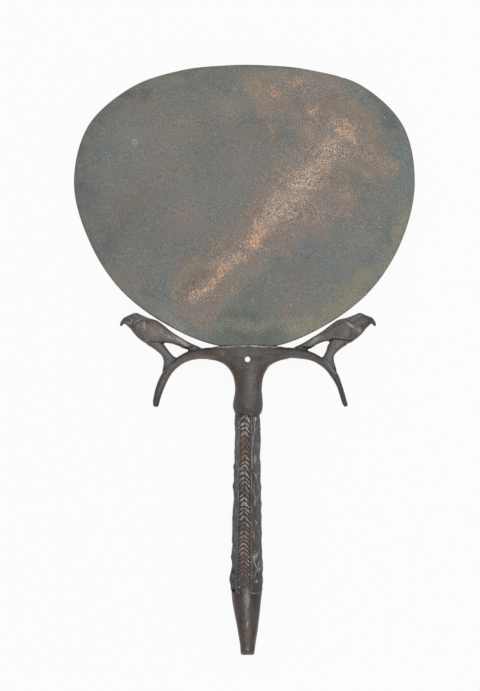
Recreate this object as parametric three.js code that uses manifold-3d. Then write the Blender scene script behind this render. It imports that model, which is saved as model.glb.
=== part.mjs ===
// A hand mirror of cast bronze, in two pieces: a wide flat disc, and a handle cast in one.
// The handle is a papyrus stem in a braided sheath. Its head opens into two drooping arms, and a falcon stands on each.
// The disc's tang sits in a slot in the head. The rivet that pinned it is lost, so its hole is open right through.
//
// Millimetres. The mirror is modelled upright in its own plane: X runs across it, Y from the handle's end to the disc,
// and Z out of the face. Y = 0 is the lip of the head, where the disc goes in. At the end it is laid on its back.
import * as THREE from "three";
import { mergeVertices } from "three/addons/utils/BufferGeometryUtils.js";
import Module from "manifold-3d";

const wasm = await Module();
wasm.setup();

// ---------------------------------------------------------------- driving dimensions

const DISC = {
  centre: new THREE.Vector3(-1.3, 67, 0),
  // radius of the outline every 20 degrees from the right, by way of the top: 140 wide, broad-shouldered, and
  // drawn in below towards the handle, where its lowest edge is hidden in the slot
  radii: [69.9, 69.3, 62.7, 53.9, 49.4, 49.3, 53.6, 61.3, 68.7, 70.3, 68.3, 67.3, 66.4, 67.6, 68.1, 67.1, 67.9, 68.7],
  thickness: 2.6,
  rimBevel: 0.6,
  points: 90,
};
const TANG = { topHalf: 9.5, endHalf: 4.2, top: 4, end: -11.5 };
const FIT_GAP = 0.3; // between the disc and the walls of its slot
const RIVET = { x: -0.2, y: -5.3, radius: 1.1 };

const SHEATH = { top: -24.5, end: -99.5 }; // the braided stretch; its top runs up into the neck
const BRAID = { halfWidth: 2.3, slope: 0.95, pitchTop: 2.45, pitchEnd: 1.5, height: 0.2, turn: -13 };
const RIB = { place: 2.9, height: 0.22 };
// a wavy cord on each flank, swinging between two angles round the stem, in degrees; left and right go in turn
const WAVE = { period: 9.3, crest: -49.2, from: 40, to: 92, halfWidth: 17, height: 0.42 };
const FLAT_DEPTH = 0.25; // how deep the resting flat is worn into the back of the neck

// ---------------------------------------------------------------- solids

/** Catmull-Rom through evenly spaced rows of numbers; t runs from 0 at the first row to 1 at the last. */
function between(rows, t) {
  const place = t * (rows.length - 1);
  const i = Math.min(Math.floor(place), rows.length - 2);
  const f = place - i;
  const row = (k) => rows[Math.max(0, Math.min(rows.length - 1, k))];
  return rows[0].map((_, n) => {
    const [a, b, c, d] = [row(i - 1)[n], row(i)[n], row(i + 1)[n], row(i + 2)[n]];
    return b + 0.5 * f * (c - a + f * (2 * a - 5 * b + 4 * c - d + f * (3 * (b - c) + d - a)));
  });
}

/** A closed solid from rings of equally many points, each end closed by a fan to the ring's middle. */
function skin(rings) {
  const count = rings[0].length;
  const positions = rings.flat().flatMap((p) => [p.x, p.y, p.z]);
  const index = [];
  for (let r = 0; r + 1 < rings.length; r++)
    for (let k = 0; k < count; k++) {
      const [a, b] = [r * count + k, r * count + ((k + 1) % count)];
      index.push(a, b, a + count, b, b + count, a + count);
    }
  for (const [ring, first] of [
    [rings[0], 0],
    [rings[rings.length - 1], (rings.length - 1) * count],
  ]) {
    const middle = positions.length / 3;
    const c = ring.reduce((sum, p) => sum.add(p), new THREE.Vector3()).divideScalar(count);
    positions.push(c.x, c.y, c.z);
    for (let k = 0; k < count; k++) {
      const [a, b] = [first + k, first + ((k + 1) % count)];
      index.push(...(first ? [a, b, middle] : [b, a, middle]));
    }
  }
  const geometry = new THREE.BufferGeometry();
  geometry.setAttribute("position", new THREE.Float32BufferAttribute(positions, 3));
  geometry.setIndex(index);
  return solid(geometry);
}

/** A closed mesh as a solid, turned right side out if its rings ran the other way. */
function solid(geometry) {
  const bare = geometry.clone();
  bare.deleteAttribute("normal");
  bare.deleteAttribute("uv");
  const merged = mergeVertices(bare, 1e-4);
  const triVerts = Uint32Array.from(merged.index.array);
  const p = merged.getAttribute("position");
  let volume = 0;
  const [a, b, c] = [new THREE.Vector3(), new THREE.Vector3(), new THREE.Vector3()];
  for (let i = 0; i < triVerts.length; i += 3) {
    a.fromBufferAttribute(p, triVerts[i]);
    b.fromBufferAttribute(p, triVerts[i + 1]);
    c.fromBufferAttribute(p, triVerts[i + 2]);
    volume += a.dot(b.cross(c));
  }
  if (volume < 0) triVerts.reverse();
  return new wasm.Manifold(new wasm.Mesh({ numProp: 3, vertProperties: Float32Array.from(p.array), triVerts }));
}

const fuse = (solids) => solids.reduce((whole, piece) => whole.add(piece));

/** A solid as the geometry of a mesh. */
function geometryOf(manifold) {
  const { numProp, numVert, vertProperties, triVerts } = manifold.getMesh();
  const positions = new Float32Array(numVert * 3);
  for (let i = 0; i < numVert; i++) positions.set(vertProperties.subarray(i * numProp, i * numProp + 3), i * 3);
  const geometry = new THREE.BufferGeometry();
  geometry.setAttribute("position", new THREE.BufferAttribute(positions, 3));
  geometry.setIndex(new THREE.BufferAttribute(Uint32Array.from(triVerts), 1));
  geometry.computeVertexNormals();
  return geometry;
}

const bend = (value, power) => Math.sign(value) * Math.abs(value) ** (2 / power);

/**
 * A rounded form drawn by its two edge lines in the mirror's plane.
 * Each station is [x, y of one edge, x, y of the other, half thickness]; a section is a superellipse across it.
 * side -1 mirrors the form to the other half; z shifts it out of the plane.
 */
function form(stations, { rings, sides, power = 2, side = 1, z = 0 }) {
  const made = [];
  for (let r = 0; r <= rings; r++) {
    const [ax, ay, bx, by, half] = between(stations, r / rings);
    const ring = [];
    for (let k = 0; k < sides; k++) {
      const angle = (2 * Math.PI * (k + 0.5)) / sides;
      const across = bend(Math.cos(angle), power) / 2;
      const x = (ax + bx) / 2 + (ax - bx) * across;
      const y = (ay + by) / 2 + (ay - by) * across;
      ring.push(new THREE.Vector3(side * x, y, z + half * bend(Math.sin(angle), power)));
    }
    made.push(ring);
  }
  return skin(made);
}

/** An ellipsoid, for a pit eaten into a surface. */
function pit(centre, radii) {
  const ball = new THREE.SphereGeometry(1, 8, 6);
  ball.scale(...radii);
  ball.translate(...centre);
  return solid(ball);
}

// ---------------------------------------------------------------- the disc

/** The disc's outline, grown by a margin: a closed curve through the ends of its radii. */
function discOutline(margin) {
  const marks = DISC.radii.map((radius, i) => {
    const bearing = (2 * Math.PI * i) / DISC.radii.length;
    const way = new THREE.Vector3(Math.cos(bearing), Math.sin(bearing), 0);
    return way.multiplyScalar(radius + margin).add(DISC.centre);
  });
  const points = new THREE.CatmullRomCurve3(marks, true, "catmullrom").getPoints(DISC.points);
  return points.slice(1).map((p) => new THREE.Vector2(p.x, p.y));
}

/** The tang's plan, grown by a margin. */
function tangOutline(margin) {
  return [
    new THREE.Vector2(-TANG.topHalf - margin, TANG.top),
    new THREE.Vector2(-TANG.endHalf - margin, TANG.end - margin),
    new THREE.Vector2(TANG.endHalf + margin, TANG.end - margin),
    new THREE.Vector2(TANG.topHalf + margin, TANG.top),
  ];
}

/** A plate of a given thickness, centred on the mirror's plane. */
function plate(outline, thickness, bevel = 0) {
  const geometry = new THREE.ExtrudeGeometry(new THREE.Shape(outline), {
    depth: thickness - 2 * bevel,
    bevelEnabled: bevel > 0,
    bevelThickness: bevel,
    bevelSize: bevel,
    bevelOffset: -bevel,
    bevelSegments: 1,
  });
  geometry.translate(0, 0, bevel - thickness / 2);
  return solid(geometry);
}

/** The rivet's hole, right through head and tang. */
function rivetHole() {
  const drill = new THREE.CylinderGeometry(RIVET.radius, RIVET.radius, 20, 20);
  drill.rotateX(Math.PI / 2);
  drill.translate(RIVET.x, RIVET.y, 0);
  return solid(drill);
}

function makeDisc() {
  const disc = plate(discOutline(0), DISC.thickness, DISC.rimBevel);
  const tang = plate(tangOutline(0), DISC.thickness);
  return disc.add(tang).subtract(rivetHole());
}

/** The slot that takes the disc's lowest edge and its tang, open at the lip. */
function makeSlot() {
  const width = DISC.thickness + 2 * FIT_GAP;
  return plate(discOutline(FIT_GAP), width).add(plate(tangOutline(FIT_GAP), width));
}

// ---------------------------------------------------------------- the handle's head: neck, lip and arms

/** The neck swells over the sheath's top, narrows, then flares to the lip. Stations run up the middle. */
function makeNeck() {
  const rows = [
    [-5.2, -27.9, 5.2, -27.9, 5.1],
    [-5.7, -26.5, 5.8, -26.5, 5.7],
    [-6.2, -24.6, 6.1, -24.6, 6.15],
    [-6.0, -22.4, 6.1, -22.4, 6.0],
    [-5.5, -19.6, 5.85, -19.6, 5.7],
    [-5.3, -16.9, 5.7, -16.9, 5.5],
    [-5.8, -13.4, 6.15, -13.4, 5.4],
    [-6.7, -10.7, 7.2, -10.7, 5.15],
    [-8.7, -8.1, 9.2, -8.1, 4.8],
    [-12.6, -6.1, 12.6, -6.0, 4.35],
    [-16.4, -4.2, 16.8, -3.9, 4.1],
    [-16.2, -2.0, 16.4, -2.0, 4.0],
    [-13.6, -0.35, 14.0, -0.35, 3.8],
    [-8.5, 0.45, 8.8, 0.45, 3.6],
  ];
  return form(rows, { rings: 18, sides: 24, power: 2.3 });
}

/** Each arm is a sepal that droops from the lip: [upper edge, lower edge, half thickness], root to tip. */
const RIGHT_ARM = [
  [5.8, 0.2, 5.8, -5.0, 3.8],
  [14.6, -0.25, 15.2, -4.75, 3.7],
  [21.2, -0.85, 20.6, -4.95, 3.3],
  [27.6, -2.85, 26.2, -5.95, 3.0],
  [33.2, -6.7, 30.9, -8.75, 2.7],
  [36.7, -10.9, 34.0, -12.15, 2.45],
  [38.6, -15.7, 36.65, -16.5, 2.2],
  [40.0, -20.7, 38.25, -21.0, 1.9],
  [40.75, -24.0, 39.9, -24.45, 1.1],
];
const LEFT_ARM = [
  [5.8, 0.2, 5.8, -5.3, 3.8],
  [14.4, -0.3, 14.6, -5.3, 3.7],
  [20.6, -0.9, 20.4, -5.25, 3.3],
  [26.4, -2.75, 25.2, -6.3, 3.0],
  [31.6, -6.4, 29.2, -8.9, 2.75],
  [35.5, -11.2, 32.1, -12.4, 2.55],
  [37.85, -16.9, 34.85, -17.8, 2.4],
  [38.95, -21.9, 36.35, -22.4, 2.1],
  [38.6, -24.65, 37.5, -24.95, 1.1],
];

const makeArm = (stations, side) => form(stations, { rings: 16, sides: 10, power: 2.4, side });

// ---------------------------------------------------------------- the falcons

// The two birds are near mirror images. Each has a body and a leg of its own, and they share the wing and the beak.

/** Body, from the tail's tip on the arm to the front of the head: [back, belly, half thickness]. */
const RIGHT_BODY = [
  [19.0, -0.25, 20.6, -1.9, 1.4],
  [22.9, 1.6, 25.3, -1.0, 1.9],
  [26.9, 4.05, 28.5, 0.85, 2.15],
  [30.6, 6.35, 32.0, 2.1, 2.5],
  [33.9, 8.85, 35.6, 1.9, 3.0],
  [37.0, 10.95, 38.6, 1.2, 3.5],
  [40.6, 11.9, 41.6, 1.3, 3.6],
  [43.4, 12.95, 44.6, 3.2, 3.3],
  [46.0, 13.9, 46.9, 5.2, 2.9],
  [48.0, 13.15, 48.55, 7.4, 2.6],
  [49.8, 12.3, 49.9, 8.75, 2.0],
  [50.8, 11.45, 50.6, 9.6, 1.1],
];
const LEFT_BODY = [
  [19.4, -0.35, 20.6, -2.0, 1.4],
  [23.9, 1.6, 25.9, -1.0, 1.9],
  [27.6, 3.75, 28.8, 0.3, 2.15],
  [31.3, 6.1, 32.2, 1.3, 2.5],
  [34.3, 8.5, 35.6, 1.5, 3.0],
  [37.4, 10.7, 38.6, 1.0, 3.5],
  [40.8, 11.7, 42.0, 1.3, 3.6],
  [43.4, 12.85, 44.9, 3.3, 3.3],
  [46.0, 13.9, 46.9, 5.35, 2.9],
  [48.2, 13.2, 48.55, 7.4, 2.6],
  [50.1, 12.35, 50.0, 8.75, 2.0],
  [51.2, 11.55, 50.7, 9.5, 1.1],
];
/** Folded wing, from the shoulder to the wing tips over the tail. It stands a little proud of the body. */
const WING = [
  [41.9, 9.2, 42.6, 5.8, 3.0],
  [41.2, 10.9, 42.3, 3.9, 3.75],
  [38.4, 10.7, 40.2, 2.2, 4.0],
  [35.3, 8.9, 36.9, 2.2, 3.7],
  [32.4, 6.75, 33.9, 2.6, 3.15],
  [29.5, 4.65, 30.9, 2.2, 2.65],
  [26.8, 3.0, 27.7, 1.3, 2.4],
  [25.4, 2.1, 25.9, 1.3, 1.8],
];
/** Hooked beak: [ridge, lower edge, half thickness]. */
const BEAK = [
  [49.4, 12.6, 49.6, 9.1, 1.9],
  [51.0, 11.6, 50.4, 9.2, 1.3],
  [52.1, 10.2, 51.2, 9.0, 0.9],
  [52.4, 8.9, 51.7, 8.5, 0.6],
  [52.1, 8.1, 51.9, 8.1, 0.25],
];
/** The legs, cast as one, from inside the thigh down to the feet on the arm: [front, back, half thickness]. */
const RIGHT_LEG = [
  [41.5, 3.4, 34.8, 4.2, 2.6],
  [40.7, 0.85, 33.3, 1.3, 2.6],
  [38.9, -0.4, 32.6, 0.0, 2.5],
  [36.9, -2.0, 32.1, -1.8, 2.3],
  [35.45, -3.9, 31.1, -3.7, 2.2],
  [35.5, -6.3, 30.0, -5.4, 2.3],
  [36.4, -9.4, 31.6, -7.6, 2.3],
  [36.5, -11.2, 33.6, -10.2, 1.9],
];
const LEFT_LEG = [
  [42.3, 3.4, 35.8, 4.2, 2.6],
  [41.6, 0.9, 34.7, 1.2, 2.6],
  [39.5, -0.5, 33.6, -0.3, 2.5],
  [37.0, -2.3, 32.6, -2.0, 2.3],
  [35.3, -4.1, 31.1, -3.9, 2.2],
  [34.65, -6.3, 30.0, -5.5, 2.3],
  [35.05, -9.0, 30.6, -7.6, 2.3],
  [35.3, -10.9, 32.6, -10.2, 1.9],
];
const EYE = { x: 48.9, y: 10.5, radius: 1.05, reach: 2.6 };

/** The eyes are one low round boss that shows on both cheeks. */
function makeEyes(side) {
  const boss = new THREE.CylinderGeometry(EYE.radius, EYE.radius, 2 * EYE.reach, 12);
  boss.rotateX(Math.PI / 2);
  boss.translate(side * EYE.x, EYE.y, 0);
  return solid(boss);
}

function makeFalcon(body, leg, side) {
  return fuse([
    form(body, { rings: 16, sides: 12, side }),
    form(WING, { rings: 10, sides: 10, power: 2.8, side }),
    form(BEAK, { rings: 5, sides: 8, side }),
    form(leg, { rings: 10, sides: 10, power: 2.4, side }),
    makeEyes(side),
  ]);
}

// ---------------------------------------------------------------- the stem

/** The stem's plain outline, from inside the neck down to its cut end: [y, left edge, right edge, half thickness]. */
const STEM = [
  [-22.0, -5.0, 4.75, 4.85],
  [-34.5, -5.3, 4.9, 4.95],
  [-47.0, -5.45, 5.0, 5.1],
  [-59.5, -5.75, 5.3, 5.35],
  [-72.0, -6.15, 5.45, 5.65],
  [-84.5, -6.55, 5.7, 5.95],
  [-97.0, -6.9, 6.0, 6.25],
  [-105.0, -6.4, 5.3, 5.7],
  [-115.0, -4.55, 4.2, 4.3],
  [-122.3, -3.35, 3.1, 3.2],
  [-126.1, -3.0, 2.6, 2.8],
  [-126.6, -2.7, 2.3, 2.5],
];
const STEM_ENDS = [STEM[0][0], STEM[STEM.length - 1][0]];

/** The stem's outline at a height, found by halving along the stations. */
function stemAt(y) {
  let [low, high] = [0, 1];
  for (let i = 0; i < 24; i++) {
    const middle = (low + high) / 2;
    if (between(STEM, middle)[0] > y) low = middle;
    else high = middle;
  }
  const [, left, right, half] = between(STEM, low);
  return { middle: (left + right) / 2, halfWidth: (right - left) / 2, halfDepth: half };
}

/** Angles of the columns round the stem, from the middle of the front band: fine over a braid, wide at the sides. */
function columnAngles() {
  const radius = 5.4;
  const band = [0, BRAID.halfWidth, RIB.place, RIB.place + 0.55].map((s) => s / radius);
  const edge = band[band.length - 1];
  const sideSteps = 6;
  const half = [...band];
  for (let k = 1; k < sideSteps; k++) half.push(edge + ((Math.PI - 2 * edge) * k) / sideSteps);
  half.push(...band.map((a) => Math.PI - a).reverse());
  return [...half, ...half.slice(1, -1).map((a) => -a).reverse()];
}

/** Arc distance from the middle of the nearest band, front or back. */
function fromBand(angle, radius) {
  const a = Math.abs(angle);
  return Math.min(a, Math.PI - a) * radius;
}

/** Height of the relief that runs down the stem: a rib beside each band, and a wavy cord on each flank. */
function runningRelief(angle, y, radius) {
  const s = fromBand(angle, radius);
  if (s < BRAID.halfWidth - 0.01) return 0;
  if (s < BRAID.halfWidth + 0.2) return -RIB.height;
  if (s < RIB.place + 0.3) return RIB.height;
  const degrees = THREE.MathUtils.radToDeg(Math.min(Math.abs(angle), Math.PI - Math.abs(angle)));
  const phase = (y - WAVE.crest) / WAVE.period + (angle > 0 ? 0.5 : 0);
  const swing = (1 + Math.cos(2 * Math.PI * phase)) / 2;
  const crest = WAVE.from + (WAVE.to - WAVE.from) * swing;
  return WAVE.height * Math.max(0, 1 - Math.abs(degrees - crest) / WAVE.halfWidth) - 0.08;
}

/** Heights of the braid's rows, strokes and grooves in turn, with the pitch closing up towards the end. */
function braidRows() {
  const length = SHEATH.top - SHEATH.end;
  const strokes = Math.round((2 * length) / (BRAID.pitchTop + BRAID.pitchEnd));
  const rows = [];
  for (let i = 0; i <= 2 * strokes; i++) {
    const f = i / (2 * strokes);
    const share = (f * BRAID.pitchTop + (f * f * (BRAID.pitchEnd - BRAID.pitchTop)) / 2) * 2;
    rows.push({ y: SHEATH.top - (length * share) / (BRAID.pitchTop + BRAID.pitchEnd), stroke: i % 2 === 1 });
  }
  return rows;
}

/** The stem: each row of the sheath dips away from the two bands, so that its edge is one stroke of the braid. */
function makeStem() {
  const angles = columnAngles();
  const turn = THREE.MathUtils.degToRad(BRAID.turn);
  const ring = (y, dip, relief) => {
    const { halfWidth: radius } = stemAt(y);
    return angles.map((angle) => {
      const s = fromBand(angle, radius);
      const level = y - dip * BRAID.slope * Math.min(s, BRAID.halfWidth);
      const here = stemAt(Math.max(STEM_ENDS[1], level));
      const height = relief(angle, level, s);
      const round = angle + turn;
      return new THREE.Vector3(
        here.middle + (here.halfWidth + height) * Math.sin(round),
        level,
        (here.halfDepth + height) * Math.cos(round),
      );
    });
  };
  const rows = braidRows();
  const rings = [ring(STEM_ENDS[0], 1, () => 0)];
  for (const { y, stroke } of rows)
    rings.push(
      ring(y, 1, (angle, level, s) => {
        const braid = stroke ? BRAID.height : -BRAID.height;
        return s < BRAID.halfWidth - 0.01 ? braid : runningRelief(angle, level, 5.4);
      }),
    );
  const last = rows[rows.length - 1].y;
  const flatFrom = last - BRAID.slope * BRAID.halfWidth;
  for (const y of [flatFrom - 0.6, -106, -111, -116, -121, -124.5, -126.1, -126.6]) rings.push(ring(y, 0, () => 0));
  return skin(rings);
}

/** Losses at the left of the sheath's lower end. */
const LOSSES = [
  { centre: [-7.2, -92.4, 1.2], radii: [0.55, 1.7, 1.6] },
  { centre: [-6.3, -100.3, 3.4], radii: [1.1, 1.0, 1.3] },
];

// ---------------------------------------------------------------- laying the mirror down

/** It lies on the back of the neck and on the disc's top edge, so it tips by the angle between the two. */
const NECK = { y: -24.6, halfDepth: 6.15 };
const discTop = Math.max(...discOutline(-DISC.rimBevel).map((p) => p.y));
const restDepth = NECK.halfDepth - FLAT_DEPTH;
const layTilt = Math.atan2(restDepth - DISC.thickness / 2, discTop - NECK.y);

/** Everything below the table's surface, in the upright frame: it wears the resting flat into the neck. */
function belowTable() {
  const slab = new THREE.BoxGeometry(40, 60, 10);
  slab.translate(0, 0, -5);
  slab.rotateX(layTilt);
  slab.translate(0, NECK.y, -restDepth);
  return solid(slab);
}

function makeHandle() {
  const whole = fuse([
    makeStem(),
    makeNeck(),
    makeArm(RIGHT_ARM, 1),
    makeArm(LEFT_ARM, -1),
    makeFalcon(RIGHT_BODY, RIGHT_LEG, 1),
    makeFalcon(LEFT_BODY, LEFT_LEG, -1),
  ]);
  const cuts = fuse([makeSlot(), rivetHole(), belowTable(), ...LOSSES.map(({ centre, radii }) => pit(centre, radii))]);
  return whole.subtract(cuts);
}

// ---------------------------------------------------------------- the finished mirror

/** A named mesh in patinated bronze. */
function bronzeMesh(name, made, color, roughness) {
  const material = new THREE.MeshStandardMaterial({ color, metalness: 0.6, roughness });
  const mesh = new THREE.Mesh(geometryOf(made), material);
  mesh.name = name;
  return mesh;
}

const mirror = new THREE.Group();
mirror.add(bronzeMesh("mirror_disc", makeDisc(), 0x6c6f64, 0.7));
mirror.add(bronzeMesh("handle", makeHandle(), 0x4c4642, 0.5));
mirror.rotation.x = -layTilt;
const outer = new THREE.Group();
outer.add(mirror);
const box = new THREE.Box3().setFromObject(outer, true);
const middle = box.getCenter(new THREE.Vector3());
mirror.position.set(-middle.x, -middle.y, -box.min.z);

export default outer;
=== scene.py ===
# %% [markdown]
# # A bronze hand mirror
# The mirror is two real pieces: a flat disc, and a handle cast in one with its two falcons. The packed
# solids already have the right outline and thickness, so each piece here is the same form worked finer. We
# start by loading those solids, and note their box before anything is added.

# %% The frame
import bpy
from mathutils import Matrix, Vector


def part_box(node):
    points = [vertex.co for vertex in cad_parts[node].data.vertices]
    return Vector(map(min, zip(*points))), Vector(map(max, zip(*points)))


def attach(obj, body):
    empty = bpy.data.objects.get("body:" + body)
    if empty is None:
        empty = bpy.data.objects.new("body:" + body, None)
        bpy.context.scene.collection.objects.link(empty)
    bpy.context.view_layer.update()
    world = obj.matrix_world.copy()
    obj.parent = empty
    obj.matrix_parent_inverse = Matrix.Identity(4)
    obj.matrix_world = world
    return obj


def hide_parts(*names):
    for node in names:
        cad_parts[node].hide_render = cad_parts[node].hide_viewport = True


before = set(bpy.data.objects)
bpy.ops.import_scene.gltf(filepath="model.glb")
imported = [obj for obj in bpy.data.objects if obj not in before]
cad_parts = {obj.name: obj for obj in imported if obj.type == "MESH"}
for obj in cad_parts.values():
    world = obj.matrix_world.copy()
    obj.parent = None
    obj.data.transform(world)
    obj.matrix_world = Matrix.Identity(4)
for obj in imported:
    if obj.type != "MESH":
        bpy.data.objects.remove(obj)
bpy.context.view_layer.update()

import itertools
import math

import bpy
import numpy as np
from mathutils import Vector

# %% [markdown]
# ## The upright drawing
# It is easiest to think of the mirror standing up: X across it, Y up the handle to the disc, Z out of its
# face. Y is 0 at the lip, where the disc goes into the handle. Everything below is drawn so, in
# millimetres, and `lay` puts the finished points down on the table at the very end.

# %% Named sizes
AROUND = 720  # points round the disc
DISC_THICKNESS = 2.6
DISC_CENTRE = np.array([-1.3, 67.0])
# The outline's radius every 20 degrees, from the right by way of the top.
DISC_RADII = [
    69.9, 69.3, 62.7, 53.9, 49.4, 49.3, 53.6, 61.3, 68.7,
    70.3, 68.3, 67.3, 66.4, 67.6, 68.1, 67.1, 67.9, 68.7,
]
RIM_BEVEL = 0.6
TANG = {"top_half": 9.5, "end_half": 4.2, "top": 4, "end": -11.5}
TANG_THINNER = {"back": 0.15, "front": 0.35}  # than the disc, on each face
RIVET = {"x": -0.2, "y": -5.3, "radius": 1.1}
SLOT_GAP = 0.12
STEM_END = {"y": -126.6, "half_depth": 2.5}
NECK_Y = -24.6  # the thickest place of the neck, which rests on the table
REST_DEPTH = 5.9  # how far behind the disc's middle plane it rests there


def catmull(rows, t):
    """Rows of numbers, read smoothly in between. With f the way gone from row b to row c, and a and d the
    rows on either side: b + f/2 (c - a + f (2a - 5b + 4c - d + f (3 (b - c) + d - a)))."""
    rows, t = np.asarray(rows, float), np.asarray(t, float)
    place = np.clip(t, 0, 1) * (len(rows) - 1)
    row = np.minimum(place.astype(int), len(rows) - 2)
    f = (place - row)[..., None]
    a, b, c, d = (rows[np.clip(row + k, 0, len(rows) - 1)] for k in (-1, 0, 1, 2))
    return b + f / 2 * (c - a + f * (2 * a - 5 * b + 4 * c - d + f * (3 * (b - c) + d - a)))


def disc_outline(count, margin=0.0):
    """The disc's outline: the ends of its radii, centre + (radius + margin) (cos, sin), on a closed smooth
    curve."""
    bearing = np.arange(len(DISC_RADII)) * 2 * np.pi / len(DISC_RADII)
    way = np.stack([np.cos(bearing), np.sin(bearing)], -1)
    marks = DISC_CENTRE + way * (np.array(DISC_RADII)[:, None] + margin)
    wrapped = np.concatenate([marks[-1:], marks, marks[:2]])
    turn = np.arange(count) / count
    return catmull(wrapped, (1 + turn * len(marks)) / (len(wrapped) - 1))


outline_low, outline_high = disc_outline(AROUND).min(0), disc_outline(AROUND).max(0)
top_edge = disc_outline(AROUND, -RIM_BEVEL)[:, 1].max()
TILT = math.atan2(REST_DEPTH - DISC_THICKNESS / 2, top_edge - NECK_Y)
print("disc:", (outline_high - outline_low).round(1), f"mm, leaning back by {math.degrees(TILT):.2f} degrees")

# %% Laying the drawing down
disc_low, disc_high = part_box("mirror_disc")
handle_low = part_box("handle")[0]
SHIFT = np.array([
    1000 * (disc_low.x + disc_high.x) / 2 - (outline_low[0] + outline_high[0]) / 2,
    1000 * handle_low.y - STEM_END["y"] * math.cos(TILT) + STEM_END["half_depth"] * math.sin(TILT),
    REST_DEPTH * math.cos(TILT) + NECK_Y * math.sin(TILT),
])


def lay(points):
    """Upright millimetres to the table's metres: a turn about X by the tilt, y' = y cos t + z sin t and
    z' = z cos t - y sin t, then the shift that matches the solids' boxes."""
    x, y, z = np.moveaxis(np.asarray(points, float), -1, 0)
    c, s = math.cos(TILT), math.sin(TILT)
    return (np.stack([x, y * c + z * s, z * c - y * s], -1) + SHIFT) / 1000


print("shift in mm:", SHIFT.round(3))

# %% [markdown]
# ## Surfaces from grids
# A closed surface here is a stack of rings with equally many points. Neighbours are joined by quads, and a
# fan closes each end to one point. Working on whole arrays keeps this quick, even with a hundred thousand
# points.

# %% Rings to a mesh


def put(name, data):
    """Places new data, such as a mesh or a lamp, in the scene as an object at the origin."""
    made = bpy.data.objects.new(name, data)
    bpy.context.scene.collection.objects.link(made)
    return made


def skin(name, rings, poles=None):
    """rings[r, k] is point k of ring r. Quads join (r, k) to (r + 1, k + 1), and triangles close both ends
    to poles, which are the end rings' means unless given. The sum of a . (b x c) over the triangles is six
    times the volume: where it is negative the faces point inwards, and they are turned round."""
    count, sides = rings.shape[:2]
    poles = [rings[0].mean(0), rings[-1].mean(0)] if poles is None else poles
    points = np.concatenate([rings.reshape(-1, 3), poles])
    r, k = np.meshgrid(np.arange(count - 1), np.arange(sides), indexing="ij")
    here, beside = r * sides + k, r * sides + (k + 1) % sides
    quads = np.stack([here, beside, beside + sides, here + sides], -1).reshape(-1, 4)
    k = np.arange(sides)
    after, top = (k + 1) % sides, (count - 1) * sides
    fans = np.concatenate([
        np.stack([after, k, np.full(sides, count * sides)], -1),
        np.stack([top + k, top + after, np.full(sides, count * sides + 1)], -1),
    ])
    mesh = bpy.data.meshes.new(name)
    mesh.from_pydata(points.tolist(), [], quads.tolist() + fans.tolist())
    a, b, c = points[np.concatenate([quads[:, [0, 1, 2]], quads[:, [0, 2, 3]], fans])].transpose(1, 0, 2)
    if (a * np.cross(b, c)).sum() < 0:
        mesh.flip_normals()
    return put(name, mesh)


def slab(name, outline, low, high):
    """A plate with a plain edge: one outline at two heights, each face closed to its middle."""
    return skin(name, np.stack([np.column_stack([outline, np.full(len(outline), z)]) for z in (low, high)]))


# %% Modifiers and joins


def settle(piece):
    """Applies the piece's modifiers: the mesh they make takes the place of its own."""
    bpy.context.view_layer.update()
    graph = bpy.context.evaluated_depsgraph_get()
    made = bpy.data.meshes.new_from_object(piece.evaluated_get(graph))
    piece.modifiers.clear()
    piece.data = made


def combine(piece, tool, how):
    """Joins a tool to a piece, or cuts it away, and clears the tool off the bench."""
    step = piece.modifiers.new("combine", "BOOLEAN")
    step.operation, step.object, step.solver = how, tool, "MANIFOLD"
    settle(piece)
    bpy.data.objects.remove(tool)


# %% Reading and moving points


def points_of(piece, what="co"):
    """A row of three numbers for each vertex: its place, or its outward direction where what is normal."""
    flat = np.empty(len(piece.data.vertices) * 3)
    piece.data.vertices.foreach_get(what, flat)
    return flat.reshape(-1, 3)


def place_points(piece, points):
    """Puts moved points back into the mesh."""
    piece.data.vertices.foreach_set("co", np.asarray(points, float).ravel())
    piece.data.update()


def tell_size(name, piece):
    """Prints how many points and triangles a piece has so far."""
    triangles = sum(len(face.vertices) - 2 for face in piece.data.polygons)
    print(f"{name}: {len(piece.data.vertices)} points, {triangles} triangles")


# %% [markdown]
# ## Wear
# Old bronze is never quite even. A few small tools shape all of its wear: smooth noise for dents and blooms,
# distances from a drawn line for engraved grooves, and soft spots for stains at listed places.

# %% Noise, lines and spots
LATTICE = 32  # the noise repeats after so many cells


def ripple(points, size, seed):
    """Smooth noise from -1 to 1: a random number at each corner of a lattice with cells of that size,
    blended inside a cell by f*f*(3 - 2f) along each axis."""
    lattice = np.random.default_rng(seed).uniform(-1, 1, (LATTICE, LATTICE, LATTICE))
    place = np.asarray(points, float) / size
    cell = np.floor(place).astype(int)
    f = place - cell
    f = f * f * (3 - 2 * f)
    total = np.zeros(place.shape[:-1])
    for corner in itertools.product((0, 1), repeat=3):
        weight = np.prod([f[..., n] if c else 1 - f[..., n] for n, c in enumerate(corner)], axis=0)
        total += weight * lattice[tuple((cell[..., n] + c) % LATTICE for n, c in enumerate(corner))]
    return total


def ripples(points, *layers):
    """Noises added up, where a layer is (height, size, seed)."""
    return sum(height * ripple(points, size, seed) for height, size, seed in layers)


def blisters(points, height, size, seed, bare):
    """Only the tops of a noise: height times what it rises above bare, and nought elsewhere."""
    return height * np.maximum(0, ripple(points, size, seed) - bare)


# %% Distances, spots and steps


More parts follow.
